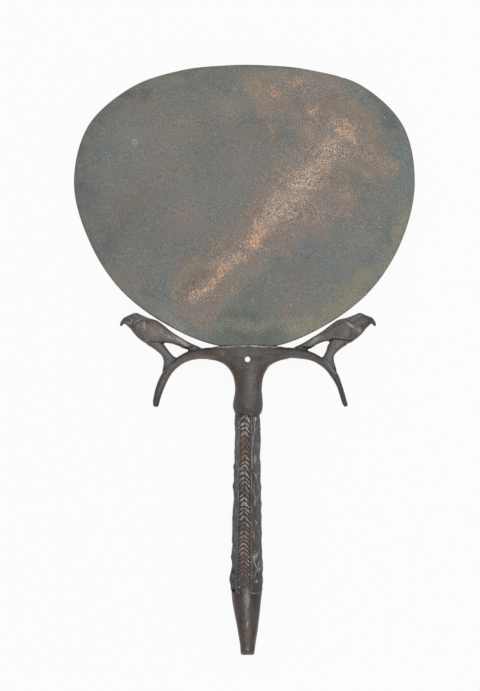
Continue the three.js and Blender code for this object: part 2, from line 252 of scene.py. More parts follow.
def from_line(x, y, path):
    """Distance from a line of straight stretches: the least of |p - a - h (b - a)| over them, where h is
    (p - a).(b - a) / |b - a|^2, held between 0 and 1."""
    best = np.full(np.shape(x), np.inf)
    for (ax, ay), (bx, by) in zip(path[:-1], path[1:]):
        dx, dy = bx - ax, by - ay
        h = np.clip(((x - ax) * dx + (y - ay) * dy) / (dx * dx + dy * dy), 0, 1)
        best = np.minimum(best, np.hypot(x - ax - h * dx, y - ay - h * dy))
    return best


def spot(x, y, at, long, wide, turn=0):
    """A soft oval, exp(-(u/long)^2 - (v/wide)^2), where u and v are measured along and across it."""
    c, s = math.cos(math.radians(turn)), math.sin(math.radians(turn))
    u, v = (x - at[0]) * c + (y - at[1]) * s, (y - at[1]) * c - (x - at[0]) * s
    return np.exp(-((u / long) ** 2) - (v / wide) ** 2)


def bump(distance, width):
    """A round-topped ridge or groove, exp(-(d/width)^2)."""
    return np.exp(-((distance / width) ** 2))


def past(value, softness):
    """A soft step from 0 to 1 where the value passes nought: 1 / (1 + exp(-value/softness))."""
    return 1 / (1 + np.exp(-value / softness))


patch = np.random.default_rng(0).uniform(0, 100, (1000, 3))
print("a ripple runs from", ripple(patch, 10, 1).min().round(2), "to", ripple(patch, 10, 1).max().round(2))

# %% [markdown]
# ## The disc
# The reflecting disc was cast as a plate, then hammered and ground flat. A cut-out plate would be too
# perfect, so we draw it as rings that shrink from the rim to the middle: its edge can be rounded, and its
# faces swell and dip a little. The tang below it, which sits in the handle, is a plain tapered slab joined
# on.

# %% The disc's rings
FRONT_RINGS, RIM_RINGS, BACK_RINGS = 78, 11, 28
RIM_ROUND = 0.75  # how far in from the edge the rounding reaches
RIM_POWER = 0.8  # below 1, so the rim is squarer than a half circle
CROWDING = 1.15  # above 1, so the front's rings lie closer towards the rim
CROWN = 0.22  # how much thinner the plate is at its rim
ROOM = {"edge": 0.05, "front": 0.1, "back": 0.02}  # kept free inside the solid, for the dents
NICK = {"at": (38.6, 110.7), "reach": 0.6, "depth": 0.28}
DEEP_PIT = {"at": (-66.4, 63.1), "reach": 0.9, "depth": 0.25}
# Height, size and seed of each scale of dents, and how far the noise must rise to leave a crust of patina.
FRONT_DENTS = (0.06, 34, 1), (0.035, 13, 2), (0.018, 4.2, 3)
BACK_DENTS = (0.04, 22, 5), (0.02, 5, 6)
CRUST = {"height": 0.03, "size": 2.1, "seed": 4, "bare": 0.25}


def dip(mark, x, y):
    """A round loss: its depth times a soft spot."""
    return mark["depth"] * spot(x, y, mark["at"], mark["reach"], mark["reach"])


def disc_faces(x, y, inward):
    """Heights of the front and back. Each is half the thickness with a little room for dents. The front
    also drops to the rim by the crown times the square of the way out."""
    flat = np.stack([x, y, np.zeros_like(x)], -1)
    half = DISC_THICKNESS / 2
    front = half - CROWN * (1 - np.clip(inward, 0, 1)) ** 2 - ROOM["front"]
    front = front + ripples(flat, *FRONT_DENTS) + blisters(flat, **CRUST) - dip(DEEP_PIT, x, y)
    return front, np.maximum(-half + ROOM["back"] + ripples(flat, *BACK_DENTS), -half)


def make_disc():
    """Rings run out over the front, closer towards the rim, at 1 - (1 - n/N)^1.15 of the way. They go round
    the rim by a half superellipse, cos^0.8 out and sin^0.8 up, and back in underneath."""
    edge = disc_outline(AROUND, -ROOM["edge"])
    reach = np.hypot(*(edge - DISC_CENTRE).T)
    way = (edge - DISC_CENTRE) / reach[:, None]
    reach = reach - dip(NICK, *edge.T)
    flat_reach = reach - RIM_ROUND
    rings = [(share * flat_reach, share, 1) for share in 1 - np.linspace(1, 0, FRONT_RINGS)[1:] ** CROWDING]
    for angle in np.radians(np.linspace(90, -90, RIM_RINGS)[1:-1]):
        out, up = abs(math.cos(angle)) ** RIM_POWER, abs(math.sin(angle)) ** RIM_POWER
        rings.append((flat_reach + RIM_ROUND * out, 1, math.copysign(up, math.sin(angle))))
    rings += [(share * flat_reach, share, -1) for share in np.linspace(1, 0, BACK_RINGS)[:-1]]
    made = []
    for radius, share, side in rings:
        plan = DISC_CENTRE + way * radius[:, None]
        front, back = disc_faces(*plan.T, np.full(AROUND, 1 - share))
        made.append(np.column_stack([plan, (front + back) / 2 + side * (front - back) / 2]))
    middle = disc_faces(*(np.array([v]) for v in DISC_CENTRE), np.ones(1))
    return skin("bronze_disc", np.array(made), [[*DISC_CENTRE, face[0]] for face in middle])


# %% The tang and the rivet's hole


def tang_outline(margin=0.0):
    """The tang tapers in a straight line from the disc's lowest edge to its end."""
    top, end = TANG["top_half"] + margin, TANG["end_half"] + margin
    low = TANG["end"] - margin
    return np.array([[-top, TANG["top"]], [-end, low], [end, low], [top, TANG["top"]]])


def rivet_drill(reach, sides=48):
    """The drill for the rivet: a circle, x + r cos t and y + r sin t, from minus reach to reach."""
    angle = np.arange(sides) * 2 * np.pi / sides
    way = np.column_stack([np.cos(angle), np.sin(angle)])
    return slab("drill", [RIVET["x"], RIVET["y"]] + RIVET["radius"] * way, -reach, reach)


disc = make_disc()
tang_back, tang_front = TANG_THINNER["back"] - DISC_THICKNESS / 2, DISC_THICKNESS / 2 - TANG_THINNER["front"]
combine(disc, slab("tang", tang_outline(), tang_back, tang_front), "UNION")
combine(disc, rivet_drill(5), "DIFFERENCE")
tell_size("disc", disc)

# %% [markdown]
# ## The handle's head
# Neck, arms and birds were modelled in wax and cast in one, so they run into each other with soft corners.
# They could be sculpted by hand, but here each form is drawn by its two edge lines, with a rounded section
# between them, so that every outline is under control. A voxel remesh melts the forms into one skin, and a
# few rounds of smoothing give the corners the softness of a casting.

# %% Forms between two edge lines
# Rings, sides and squareness of each form's grid.
GRIDS = {
    "neck": (90, 96, 2.3),
    "arm": (90, 48, 2.4),
    "body": (90, 48, 2.0),
    "wing": (60, 48, 2.8),
    "beak": (40, 32, 2.0),
    "leg": (50, 40, 2.4),
}


def squared(value, power):
    """Bends a sine or cosine towards a squarer section: sign(v) |v|^(2/power)."""
    return np.sign(value) * np.abs(value) ** (2 / power)


def form(name, stations, side=1):
    """Stations are [x, y of one edge, x, y of the other, half thickness]. A section is a superellipse
    across them: p = (a + b)/2 + (a - b)/2 cos', z = half sin'. side -1 makes the mirror image."""
    rings, sides, power = GRIDS[name]
    ax, ay, bx, by, half = np.moveaxis(catmull(stations, np.linspace(0, 1, rings)), -1, 0)
    angle = 2 * np.pi * (np.arange(sides) + 0.5) / sides
    across, up = squared(np.cos(angle), power) / 2, squared(np.sin(angle), power)
    x = (ax + bx)[:, None] / 2 + (ax - bx)[:, None] * across
    y = (ay + by)[:, None] / 2 + (ay - by)[:, None] * across
    return skin(name, np.stack([side * x, y, half[:, None] * up], -1))


# %% The neck and the arms
NECK = [
    [-5.2, -27.9, 5.2, -27.9, 5.1], [-5.7, -26.5, 5.8, -26.5, 5.7],
    [-6.2, -24.6, 6.1, -24.6, 6.15], [-6, -22.4, 6.1, -22.4, 6],
    [-5.5, -19.6, 5.85, -19.6, 5.7], [-5.3, -16.9, 5.7, -16.9, 5.5],
    [-5.8, -13.4, 6.15, -13.4, 5.4], [-6.8, -10.7, 7.2, -10.5, 5.15],
    [-9, -7.9, 9.3, -7.7, 4.8], [-12.4, -6.1, 12.9, -5.85, 4.4],
    [-16.3, -5.3, 16.9, -4.85, 4.1], [-19, -4.3, 19.4, -3.9, 3.7],
    [-16.6, -2, 17, -2, 3.9], [-14.4, -0.25, 14.8, -0.25, 3.8],
    [-9.5, 0.45, 9.8, 0.45, 3.6],
]

# Each arm is a sepal that droops from the lip, drawn from root to tip by its upper and lower edges.
RIGHT_ARM = [
    [5.8, 0.2, 5.8, -5, 3.8], [14.6, -0.25, 15.2, -4.75, 3.7],
    [21.2, -0.85, 20.6, -4.95, 3.3], [27.6, -2.85, 26.2, -5.95, 3],
    [33.2, -6.7, 30.9, -8.75, 2.7], [36.75, -10.9, 33.85, -12.15, 2.45],
    [38.65, -15.7, 36.45, -16.5, 2.2], [40.1, -20.7, 37.95, -21, 1.9],
    [40.8, -23, 38.75, -23.5, 1.7], [41.1, -24.4, 39.75, -24.9, 1.1],
]
LEFT_ARM = [
    [5.8, 0.2, 5.8, -5.3, 3.8], [14.4, -0.3, 14.6, -5.3, 3.7],
    [20.6, -0.9, 20.4, -5.25, 3.3], [26.4, -2.75, 25.2, -6.3, 3],
    [31.6, -6.4, 29.2, -8.9, 2.75], [35.5, -11.2, 32.1, -12.4, 2.55],
    [37.9, -16.8, 34.7, -17.8, 2.4], [39, -21.6, 36.15, -22.1, 2.1],
    [39.1, -23.7, 36.7, -24.1, 1.8], [38.85, -24.7, 37.1, -24.9, 1.2],
]

# %% The falcons' forms
# A body runs from the tail to the brow, a wing from the shoulder back, a beak down to its tip, a leg down
# to the foot.
RIGHT_BODY = [
    [19, -0.25, 20.6, -1.9, 1.4], [22.9, 1.6, 25.3, -1, 1.9],
    [26.9, 4.05, 28.5, 0.85, 2.15], [30.6, 6.35, 32, 2.1, 2.5],
    [33.9, 8.85, 35.6, 1.9, 3], [37, 10.95, 38.6, 1.2, 3.5], [40.6, 11.9, 41.6, 1.3, 3.6],
    [43.4, 12.95, 44.6, 3.2, 3.3], [46, 13.9, 46.9, 5.2, 2.9],
    [48, 13.15, 48.55, 7.4, 2.6], [49.8, 12.3, 49.9, 8.75, 2],
    [50.8, 11.45, 50.6, 9.6, 1.1],
]
LEFT_BODY = [
    [19.4, -0.35, 20.6, -2, 1.4], [23.9, 1.6, 25.9, -1, 1.9],
    [27.6, 3.75, 28.8, 0.3, 2.15], [31.3, 6.1, 32.2, 1.3, 2.5], [34.3, 8.5, 35.6, 1.5, 3],
    [37.4, 10.7, 38.6, 1, 3.5], [40.8, 11.7, 42, 1.3, 3.6], [43.4, 12.85, 44.9, 3.3, 3.3],
    [46, 13.9, 46.9, 5.35, 2.9], [48.2, 13.2, 48.55, 7.4, 2.6],
    [50.1, 12.35, 50, 8.75, 2], [51.2, 11.55, 50.7, 9.5, 1.1],
]
WING = [
    [41.9, 9.2, 42.6, 5.8, 3], [41.2, 10.9, 42.3, 3.9, 3.75], [38.4, 10.7, 40.2, 2.2, 4],
    [35.3, 8.9, 36.9, 2.2, 3.7], [32.4, 6.75, 33.9, 2.6, 3.15],
    [29.5, 4.65, 30.9, 2.2, 2.65], [26.8, 3, 27.7, 1.3, 2.4], [25.4, 2.1, 25.9, 1.3, 1.8],
]
BEAK = [
    [49.4, 12.6, 49.6, 9.1, 1.9], [51.1, 11.75, 50.5, 9.4, 1.35],
    [52.2, 10.35, 51.1, 9.15, 1], [52.65, 9.1, 51.55, 8.65, 0.75],
    [52.45, 8.25, 51.9, 8.25, 0.35],
]
RIGHT_LEG = [
    [41.5, 3.4, 34.8, 4.2, 2.6], [40.7, 0.85, 33.3, 1.3, 2.6], [38.9, -0.4, 32.6, 0, 2.5],
    [36.9, -2, 32.1, -1.8, 2.3], [35.45, -3.9, 31.1, -3.7, 2.2],
    [35.5, -6.3, 30, -5.4, 2.3], [36.4, -9.4, 31.6, -7.6, 2.3],
    [36.5, -11.2, 33.6, -10.2, 1.9],
]
LEFT_LEG = [
    [42.3, 3.4, 35.8, 4.2, 2.6], [41.6, 0.9, 34.7, 1.2, 2.6],
    [39.5, -0.5, 33.6, -0.3, 2.5], [37, -2.3, 32.3, -2.1, 2.3],
    [35.3, -4.1, 30.5, -4, 2.2], [34.65, -6.3, 28.6, -5.3, 2.3],
    [35.05, -9, 30.6, -7.6, 2.3], [35.3, -10.9, 32.6, -10.2, 1.9],
]

# %% Melting the forms into one skin
VOXEL = 0.355
SMOOTHING = {"in": 0.5, "out": -0.52, "rounds": 3}


def relax(piece):
    """Smoothing that keeps the size: each round moves every point half of the way to its neighbours' mean,
    and then slightly more than that back out."""
    points, count = points_of(piece), len(piece.data.vertices)
    edges = np.empty(len(piece.data.edges) * 2, int)
    piece.data.edges.foreach_get("vertices", edges)
    a, b = edges.reshape(-1, 2).T
    degree = np.bincount(edges, minlength=count)[:, None]
    for share in [SMOOTHING["in"], SMOOTHING["out"]] * SMOOTHING["rounds"]:
        ends = zip(points[a].T, points[b].T)
        total = [np.bincount(a, at_b, count) + np.bincount(b, at_a, count) for at_a, at_b in ends]
        points = points + share * (np.transpose(total) / degree - points)
    place_points(piece, points)


parts = [form("neck", NECK), form("arm", RIGHT_ARM), form("arm", LEFT_ARM, -1)]
for side, body, leg in ((1, RIGHT_BODY, RIGHT_LEG), (-1, LEFT_BODY, LEFT_LEG)):
    bird = {"body": body, "wing": WING, "beak": BEAK, "leg": leg}
    parts += [form(name, stations, side) for name, stations in bird.items()]
handle = parts[0]
for part in parts[1:]:
    combine(handle, part, "UNION")
melt = handle.modifiers.new("melt", "REMESH")
melt.mode, melt.voxel_size, melt.adaptivity = "VOXEL", VOXEL, 0
settle(handle)
relax(handle)
handle.name = "bronze_handle"
tell_size("head", handle)

# %% [markdown]
# ## Chasing the falcons
# After casting, the maker cut the eyes, the edge of the wing, the line of the neck and the fold over the
# thigh with a chasing tool. We do the same: each line is a path in the plane, and the skin moves along its
# normal by a groove, depth times exp(-(d/width)^2). The same depths are kept for the colour, which darkens
# the grooves, partly as dirt and partly as painted shade in the deepest creases.

# %% Chased lines
# For each bird, as if it faced right: depth, width and path of every line. A minus depth is a raised line.
RIGHT_LINES = [
    (0.34, 0.32, [(33.8, 2.5), (34.8, 3.05), (38.2, 2.85), (41.2, 2.5), (43.2, 2.7)]),
    (0.2, 0.32, [(39.2, 10.9), (41.2, 9.2), (42.5, 7.7), (42.95, 5.7), (42.2, 3.9)]),
    (0.18, 0.3, [(41.9, 10.7), (43, 9.8), (44, 9.15), (45.6, 8.55), (47.6, 8.3)]),
    (-0.12, 0.35, [(42.4, 11.3), (43.5, 10.3), (44.6, 9.7)]),
    (0.16, 0.22, [(50.1, 9.3), (49.6, 10), (49.8, 11.1), (50.3, 11.9)]),
    (0.14, 0.25, [(34.6, 5), (37.5, 4.4), (40.5, 3.9)]),
    (0.6, 0.4, [(22.3, -0.3), (23.8, -0.7), (25.6, -0.9)]),
    (0.12, 0.3, [(26.5, 1.9), (30, 3.8), (33.6, 6)]),
    (0.22, 0.28, [(29.9, -4.3), (31.8, -5.6), (33.6, -7), (36.3, -10.2)]),
]
LEFT_LINES = [
    (0.28, 0.3, [(34.9, 1.5), (36.6, 1.8), (38.4, 1.9), (40.3, 2.1)]),
    (0.1, 0.4, [(41.2, 11.3), (42.1, 9.6), (42.4, 7.6), (42.2, 6), (41, 4.4)]),
    (0.22, 0.3, [(43, 11.2), (44.5, 10.2), (46.4, 9), (47.6, 8.3)]),
    (-0.08, 0.3, [(43.3, 11.6), (44.8, 10.7), (46.7, 9.5)]),
    (-0.1, 0.25, [(44.9, 8.4), (45.8, 6.7), (45.7, 5)]),
    (0.16, 0.22, [(50.3, 9.3), (49.9, 10), (50.1, 11.1), (50.5, 11.9)]),
    (0.07, 0.4, [(33.8, 5.9), (36, 5.2), (38.5, 5), (40.5, 5.2)]),
    (0.6, 0.4, [(22.9, -0.1), (24.4, -0.6), (26, -0.8)]),
    (0.12, 0.3, [(26.5, 1.7), (30, 3.6), (33.6, 5.7)]),
    (0.26, 0.28, [(29.3, -4.8), (30.9, -6.5), (32.9, -8.4), (35, -10)]),
]
BIRDS_FROM = 15  # how far out from the middle the lines may show
EYE = {"at": (48.95, 10.7), "worn": 0.5}  # the right-hand bird's is worn half away
# Height, radius and width of the eye's lid, its hollow and its ball.
EYE_RINGS = [(0.14, 0.95, 0.24), (-0.2, 0.55, 0.22), (0.12, 0, 0.3)]
FACING = 1.6  # how soon the lines reach their full depth as the skin turns to the front
CAST_DENTS = (0.03, 1.7, 51), (0.02, 0.8, 52), (0.05, 5, 53)
PITS = {"height": 0.07, "size": 1.3, "seed": 54, "bare": 0.55}


def chased(x, y):
    """How far the skin moves out (plus) or in (minus) at each place of the head: every line's depth times
    exp(-(d/width)^2), and rings of the same kind round the eye."""
    moved = np.zeros_like(x)
    for side, lines, wear in ((1, RIGHT_LINES, EYE["worn"]), (-1, LEFT_LINES, 1)):
        here, facing = x * side > BIRDS_FROM, x * side
        for depth, width, path in lines:
            moved -= here * depth * bump(from_line(facing, y, path), width)
        out = np.hypot(facing - EYE["at"][0], y - EYE["at"][1])
        moved += here * wear * sum(height * bump(out - radius, width) for height, radius, width in EYE_RINGS)
    return moved


points, outward = points_of(handle), points_of(handle, "normal")
facing_us = np.clip(outward[:, 2] * FACING, 0, 1)
moved = facing_us * chased(points[:, 0], points[:, 1])
moved = moved + ripples(points, *CAST_DENTS) - blisters(points, **PITS)
place_points(handle, points + outward * moved[:, None])
print(f"chasing moves the skin by {moved.min():.2f} to {moved.max():.2f} mm")

# %% [markdown]
# ## The stem
# The stem is a papyrus stalk in a plaited sheath: one plait down the front and one down the back, a thin
# rib on each side of it, and a pair of cords that wave across each other on the flanks. Carving each strand
# as a piece of its own would be slow. Instead the relief is a height worked out for every point from the
# angle round the stem and the place along it, so a fine grid carries all of it at once.

# %% The stem's outline
# From the neck down: y, left edge, right edge, half depth.
STEM = [
    [-22, -5, 4.75, 4.85], [-34.5, -5.3, 4.9, 4.95], [-47, -5.45, 5, 5.1],
    [-59.5, -5.75, 5.3, 5.35], [-72, -6.15, 5.45, 5.65], [-84.5, -6.55, 5.7, 5.95],
    [-97, -6.9, 6, 6.25], [-105, -6.4, 5.3, 5.7], [-115, -4.55, 4.2, 4.3],
    [-122.3, -3.35, 3.1, 3.2], [-126.1, -3, 2.6, 2.8], [-126.6, -2.7, 2.3, 2.5],
]
FLATTENED = 0.952  # the stem is a little flatter than the solid


def stem_at(y):
    """Middle, half width and half depth of the stem at each height, read from its stations."""
    dense = catmull(STEM, np.linspace(0, 1, 2000))[::-1]
    left, right, half = (np.interp(y, dense[:, 0], dense[:, n]) for n in (1, 2, 3))
    return (left + right) / 2, (right - left) / 2, half * FLATTENED


def angle_from_plait(angle):
    """The same direction round the stem, between -pi and pi."""
    return (angle + np.pi) % (2 * np.pi) - np.pi


# %% The plait
SHEATH = {"top": -24.5, "end": -99.5, "radius": 5.4}
PLAIT = {
    "half_width": 2.3,
    "height": 0.26,
    "turn": math.radians(-13),  # the plait lies a little to the left of the front
    "left_slope": 0.8,
    "right_slope": 1.1,
    "pitch_top": 2.45,
    "pitch_end": 1.5,
}
SLACK = (0.26, 2.6, 41), (0.22, 0.9, 42)  # how unevenly the strands were laid
SPLIT = {"depth": 0.06, "width": 0.07}  # along each strand
# Depth, place and width of the grooves along the plait's middle and just inside its edge.
MIDDLE_LINE = {"depth": 0.16, "place": 0.1, "width": 0.16}
EDGE_LINE = {"depth": 0.16, "place": 1.95, "width": 0.25, "right_share": 0.5}


def plait_phase(y):
    """How many strands have passed by this height. The pitch closes up evenly from top to end. With q the
    length's share times the mean pitch, the strands' share f solves f top + f*f (end - top)/2 = q."""
    top, end, length = PLAIT["pitch_top"], PLAIT["pitch_end"], SHEATH["top"] - SHEATH["end"]
    strands = round(2 * length / (top + end))
    q = np.clip((SHEATH["top"] - y) / length, 0, 1) * (top + end) / 2
    share = (np.sqrt(np.maximum(0, top * top + 2 * (end - top) * q)) - top) / (end - top)
    return share * strands


def plait_relief(s, y, place, right, worn):
    """The strands slope down and out from the middle line, s away. Each is a ridge, worn (1 - t^1.3) - 1.1
    t^3, with t the way from its middle to a joint, less a split and the grooves, each depth times
    exp(-(d/w)^2)."""
    slope = np.where(right, PLAIT["right_slope"], PLAIT["left_slope"])
    phase = plait_phase(y + slope * s) + ripples(place, *SLACK)
    off = np.abs(phase - np.floor(phase) - 0.5)
    t = off * 2
    ridge = PLAIT["height"] * (worn * (1 - t**1.3) - 1.1 * t**3)
    ridge = ridge - MIDDLE_LINE["depth"] * bump(s - MIDDLE_LINE["place"], MIDDLE_LINE["width"])
    ridge = ridge - SPLIT["depth"] * bump(off, SPLIT["width"])
    edge = EDGE_LINE["depth"] * bump(s - EDGE_LINE["place"], EDGE_LINE["width"])
    return ridge - edge * np.where(right, EDGE_LINE["right_share"], 1)


# %% The ribs and cords beside it
GUTTER = {"depth": 0.24, "place": 0.12, "width": 0.18}  # outside the plait's edge
RIB = {"place": 2.95, "width": 0.24, "height": 0.2, "left_share": 0.7, "sway": (0.15, 6, 46)}
# Two cords swing as cosines between two angles and cross, in degrees from the plait's middle.
CHAIN = {
    "lens": 9.3,
    "crest": -49.2,
    "from": 41,
    "to": 68,
    "half_width": 3.4,
    "height": 0.32,
    "floor": -0.12,
    "sway": (2.5, 3.2, 44),
}
CORD_LINE = {"depth": 0.14, "width": 2.6}  # the groove that outlines each cord
CROSSING = {"height": 0.14, "width": 4}  # the cords' bulge where they cross
EDGE_CORDS = [(83, 3.5, 23), (97, 3, 17)]  # angle, swing and wave length of the cords at the side
EDGE_CORD_WIDTH = 4.5
# Swellings of the sheath's left edge: y, half length and rise.
KNOTS = [
    (-49.1, 1.4, 0.45), (-57.5, 1.5, 0.5), (-70.5, 1.5, 0.15),
    (-86.4, 1.3, 0.5), (-89.9, 1.2, -0.3), (-95.4, 2.3, 0.55),
]
KNOTS_AT = {"angle": -77, "reach": 22}


def cord_relief(angle, folded, y, place, worn, knots):
    """The cords are round ridges, exp(-(d/w)^2), whose middles swing as a cosine along the stem. A groove
    runs along each side of a cord, and the knots swell the left edge."""
    degrees = np.degrees(folded) + ripples(place, CHAIN["sway"])
    swing = np.cos(np.pi * (y - CHAIN["crest"]) / CHAIN["lens"])
    middle, reach = (CHAIN["from"] + CHAIN["to"]) / 2, (CHAIN["to"] - CHAIN["from"]) / 2
    height, floor, half_width = worn * CHAIN["height"], CHAIN["floor"], CHAIN["half_width"]
    cords = np.full_like(degrees, floor)
    for crest in (middle + reach * swing, middle - reach * swing):
        cords = np.maximum(cords, height * bump(degrees - crest, half_width) + floor)
        cords -= CORD_LINE["depth"] * bump(np.abs(degrees - crest) - 2 * half_width, CORD_LINE["width"])
    cords += CROSSING["height"] * bump(degrees - middle, CROSSING["width"]) * swing**2
    for at, sway, length in EDGE_CORDS:
        wave = at + sway * np.cos(2 * np.pi * y / length + 2 * np.sign(angle))
        cords = np.maximum(cords, height * bump(degrees - wave, EDGE_CORD_WIDTH) + floor)
    at_side = bump(np.degrees(angle) - KNOTS_AT["angle"], KNOTS_AT["reach"])
    for centre, half, rise in knots:
        cords = cords + at_side * rise * bump(y - centre, half)
    return cords


# %% The whole pattern
STRAND_WEAR = {"mean": 0.9, "noise": (0.75, 2.4, 43)}  # 1 is a strand as it was made
FLANK_GAP = 0.45  # from the rib's middle to the first cords
SOFT_STEP = 0.1


def sheath_relief(angle, y, knots=KNOTS):
    """Height of the whole pattern, where angle is measured round the stem from the middle of the front
    plait. The plait, the ribs and the cords share the width out by soft steps, 1 / (1 + exp(-d/0.1))."""
    folded = np.minimum(np.abs(angle), np.pi - np.abs(angle))
    s = folded * SHEATH["radius"]
    right = np.sin(2 * angle) > 0
    place = np.stack([angle * SHEATH["radius"], y, np.zeros_like(y)], -1)
    worn = STRAND_WEAR["mean"] + ripples(place, STRAND_WEAR["noise"])
    inside = past(PLAIT["half_width"] - s, SOFT_STEP)
    flank = past(s - (RIB["place"] + FLANK_GAP), SOFT_STEP)
    gutter = -GUTTER["depth"] * bump(s - PLAIT["half_width"] - GUTTER["place"], GUTTER["width"])
    rib = RIB["height"] * worn * np.where(right, 1, RIB["left_share"])
    rib = rib * bump(s - RIB["place"] + ripples(place, RIB["sway"]), RIB["width"])
    cords = cord_relief(angle, folded, y, place, worn, knots)
    return inside * plait_relief(s, y, place, right, worn) + (1 - inside) * (gutter + rib) + flank * cords


# %% The stem's skin
SHEATH_TOP_FADE = {"from": -26, "over": 1.5}
SHEATH_END_FADE = 0.35
HEM = {"height": 0.12, "above": 0.5, "width": 0.5}  # the sheath is thicker at its broken end
TORN = {"below": 0.4, "coarse": (0.7, 2.6, 47), "fine": (0.35, 0.9, 48)}
COLUMNS = {"start": -80, "turn_over": 106, "face": 90, "behind": 42}  # two angles and two counts
STEM_DENTS = (0.035, 1.6, 11), (0.02, 0.7, 12)
RING_HEIGHTS = [
    np.arange(-22, -27, -1.0),  # inside the neck
    np.arange(-27, -101.5, -0.22),  # along the sheath
    np.arange(-101.5, -126, -0.6),  # along the plain end
    [-126.1, -126.4, -126.6],  # round the edge of the cut
]


def sheath_end(angle):
    """The sheath breaks off unevenly, about a millimetre up and down round the stem."""
    place = np.stack([angle * SHEATH["radius"], np.zeros_like(angle), np.zeros_like(angle)], -1)
    return SHEATH["end"] - TORN["below"] + ripples(place, TORN["coarse"], TORN["fine"])


def stem_columns():
    """Angles round the stem, close together on the face and wider behind."""
    start, turn_over = np.radians(COLUMNS["start"]), np.radians(COLUMNS["turn_over"])
    face = np.linspace(start, turn_over, COLUMNS["face"], endpoint=False)
    behind = np.linspace(turn_over, start + 2 * np.pi, COLUMNS["behind"], endpoint=False)
    return angle_from_plait(np.concatenate([face, behind]))


def make_stem():
    """x = middle + (half width + relief) sin, z = (half depth + relief) cos, at rings that are close along
    the sheath. The relief fades out under the neck and at the sheath's broken end."""
    y, angle = np.meshgrid(np.concatenate(RING_HEIGHTS), stem_columns(), indexing="ij")
    middle, half_width, half_depth = stem_at(y)
    above_end = y - sheath_end(angle)
    fade = np.clip(above_end / SHEATH_END_FADE, 0, 1)
    fade = fade * np.clip((SHEATH_TOP_FADE["from"] - y) / SHEATH_TOP_FADE["over"], 0, 1)
    height = fade * (sheath_relief(angle, y) + HEM["height"] * bump(above_end - HEM["above"], HEM["width"]))
    across, out = np.sin(angle + PLAIT["turn"]), np.cos(angle + PLAIT["turn"])
    x, z = middle + (half_width + height) * across, (half_depth + height) * out
    worn = ripples(np.stack([x, y, z], -1), *STEM_DENTS)
    return skin("stem", np.stack([x + worn * across, y, z + worn * out], -1))


stem = make_stem()
tell_size("stem", stem)
combine(handle, stem, "UNION")

# %% [markdown]
# ## Slot, hole and losses
# The real slot was cast round a core, and the rivet's hole drilled through handle and tang together. The
# disc's own outline, a little wider, cuts the slot here, so the two pieces fit. Two bites at the sheath's
# left edge are lost metal, and the back of the neck is worn flat by the table.

# %% Cutting them
# Middle and radii of each lost bite.
LOSSES = [([-7, -92.6, 1.4], [0.7, 1.5, 1.8]), ([-6.2, -100, 3.2], [1.2, 0.8, 1.6])]
BITE_RINGS, BITE_SIDES, BITE_CAP = 15, 32, 80  # rings lie up to 80 degrees from the middle
TABLE = {"half_width": 20, "from": -60, "to": 10, "depth": 30}


def bite(middle, radii):
    """A ball squashed to three radii, centre + radii (cos u cos a, cos u sin a, sin u), for a loss eaten
    into the surface."""
    heights = np.radians(np.linspace(-BITE_CAP, BITE_CAP, BITE_RINGS))
    u, a = np.meshgrid(heights, np.arange(BITE_SIDES) * 2 * np.pi / BITE_SIDES, indexing="ij")
    ball = np.stack([np.cos(u) * np.cos(a), np.cos(u) * np.sin(a), np.sin(u)], -1)
    poles = np.array([[0, 0, -1], [0, 0, 1]]) * radii + middle
    return skin("bite", ball * radii + middle, poles)


def table_block():
    """A block whose upper face is the table as the leaning mirror sees it:
    z = -rest depth + tan(tilt) (y - neck)."""
    x, low, high = TABLE["half_width"], TABLE["from"], TABLE["to"]
    corners = np.array([[-x, low], [x, low], [x, high], [-x, high]], float)
    face = -REST_DEPTH + math.tan(TILT) * (corners[:, 1] - NECK_Y)
    levels = np.full(4, -TABLE["depth"]), face
    return skin("table", np.array([np.column_stack([corners, z]) for z in levels]))


slot_half = DISC_THICKNESS / 2 + SLOT_GAP
combine(handle, slab("slot", disc_outline(240, SLOT_GAP), -slot_half, slot_half), "DIFFERENCE")
combine(handle, slab("socket", tang_outline(SLOT_GAP), -slot_half, slot_half), "DIFFERENCE")
combine(handle, rivet_drill(12), "DIFFERENCE")
for middle, radii in LOSSES:
    combine(handle, bite(middle, radii), "DIFFERENCE")
combine(handle, table_block(), "DIFFERENCE")
tell_size("handle", handle)

# %% [markdown]
# ## Where the stains lie
# The patina is grey-green, with a rubbed, copper-red streak across the disc and brown, olive and blue-green
# stains. Noise alone would put them anywhere, so each stain is a soft spot or stroke, kept as one number a
# point. A little noise shifts the drawing first, so that no edge is a clean oval. The material later breaks
# each stain up with its own grain.

# %% Masks on the points


def keep(piece, name, values):
    """Stores one number a point, which the material reads by name."""
    attribute = piece.data.attributes.new(name, "FLOAT", "POINT")
    attribute.data.foreach_set("value", np.clip(values, 0, 1).astype(np.float32))


def wandered(points, layers):
    """x and y of the points, each shifted by noise of its own. A layer is (reach, size, seed for x, seed
    for y)."""
    x_shift = ripples(points, *((reach, size, seed) for reach, size, seed, _ in layers))
    y_shift = ripples(points, *((reach, size, seed) for reach, size, _, seed in layers))
    return points[:, 0] + x_shift, points[:, 1] + y_shift


def store_marks(piece, x, y, front, spots, strokes):
    """Keeps each stain and each patch of painted light and shade as a mask on the front: 1 less the product
    of what its spots and strokes leave bare.
    A spot is (strength, middle, length, width, turn where it has one), and a stroke is (strength, width,
    path)."""
    for name in spots:
        bare = np.ones_like(x)
        for strength, *shape in spots[name]:
            bare *= 1 - strength * spot(x, y, *shape)
        for strength, width, path in strokes.get(name, []):
            bare *= 1 - strength * bump(from_line(x, y, path), width)
        keep(piece, name, (1 - bare) * front)
    print(piece.name, "has the stains", ", ".join(spots), f"and {front.mean():.2f} of its points face up")


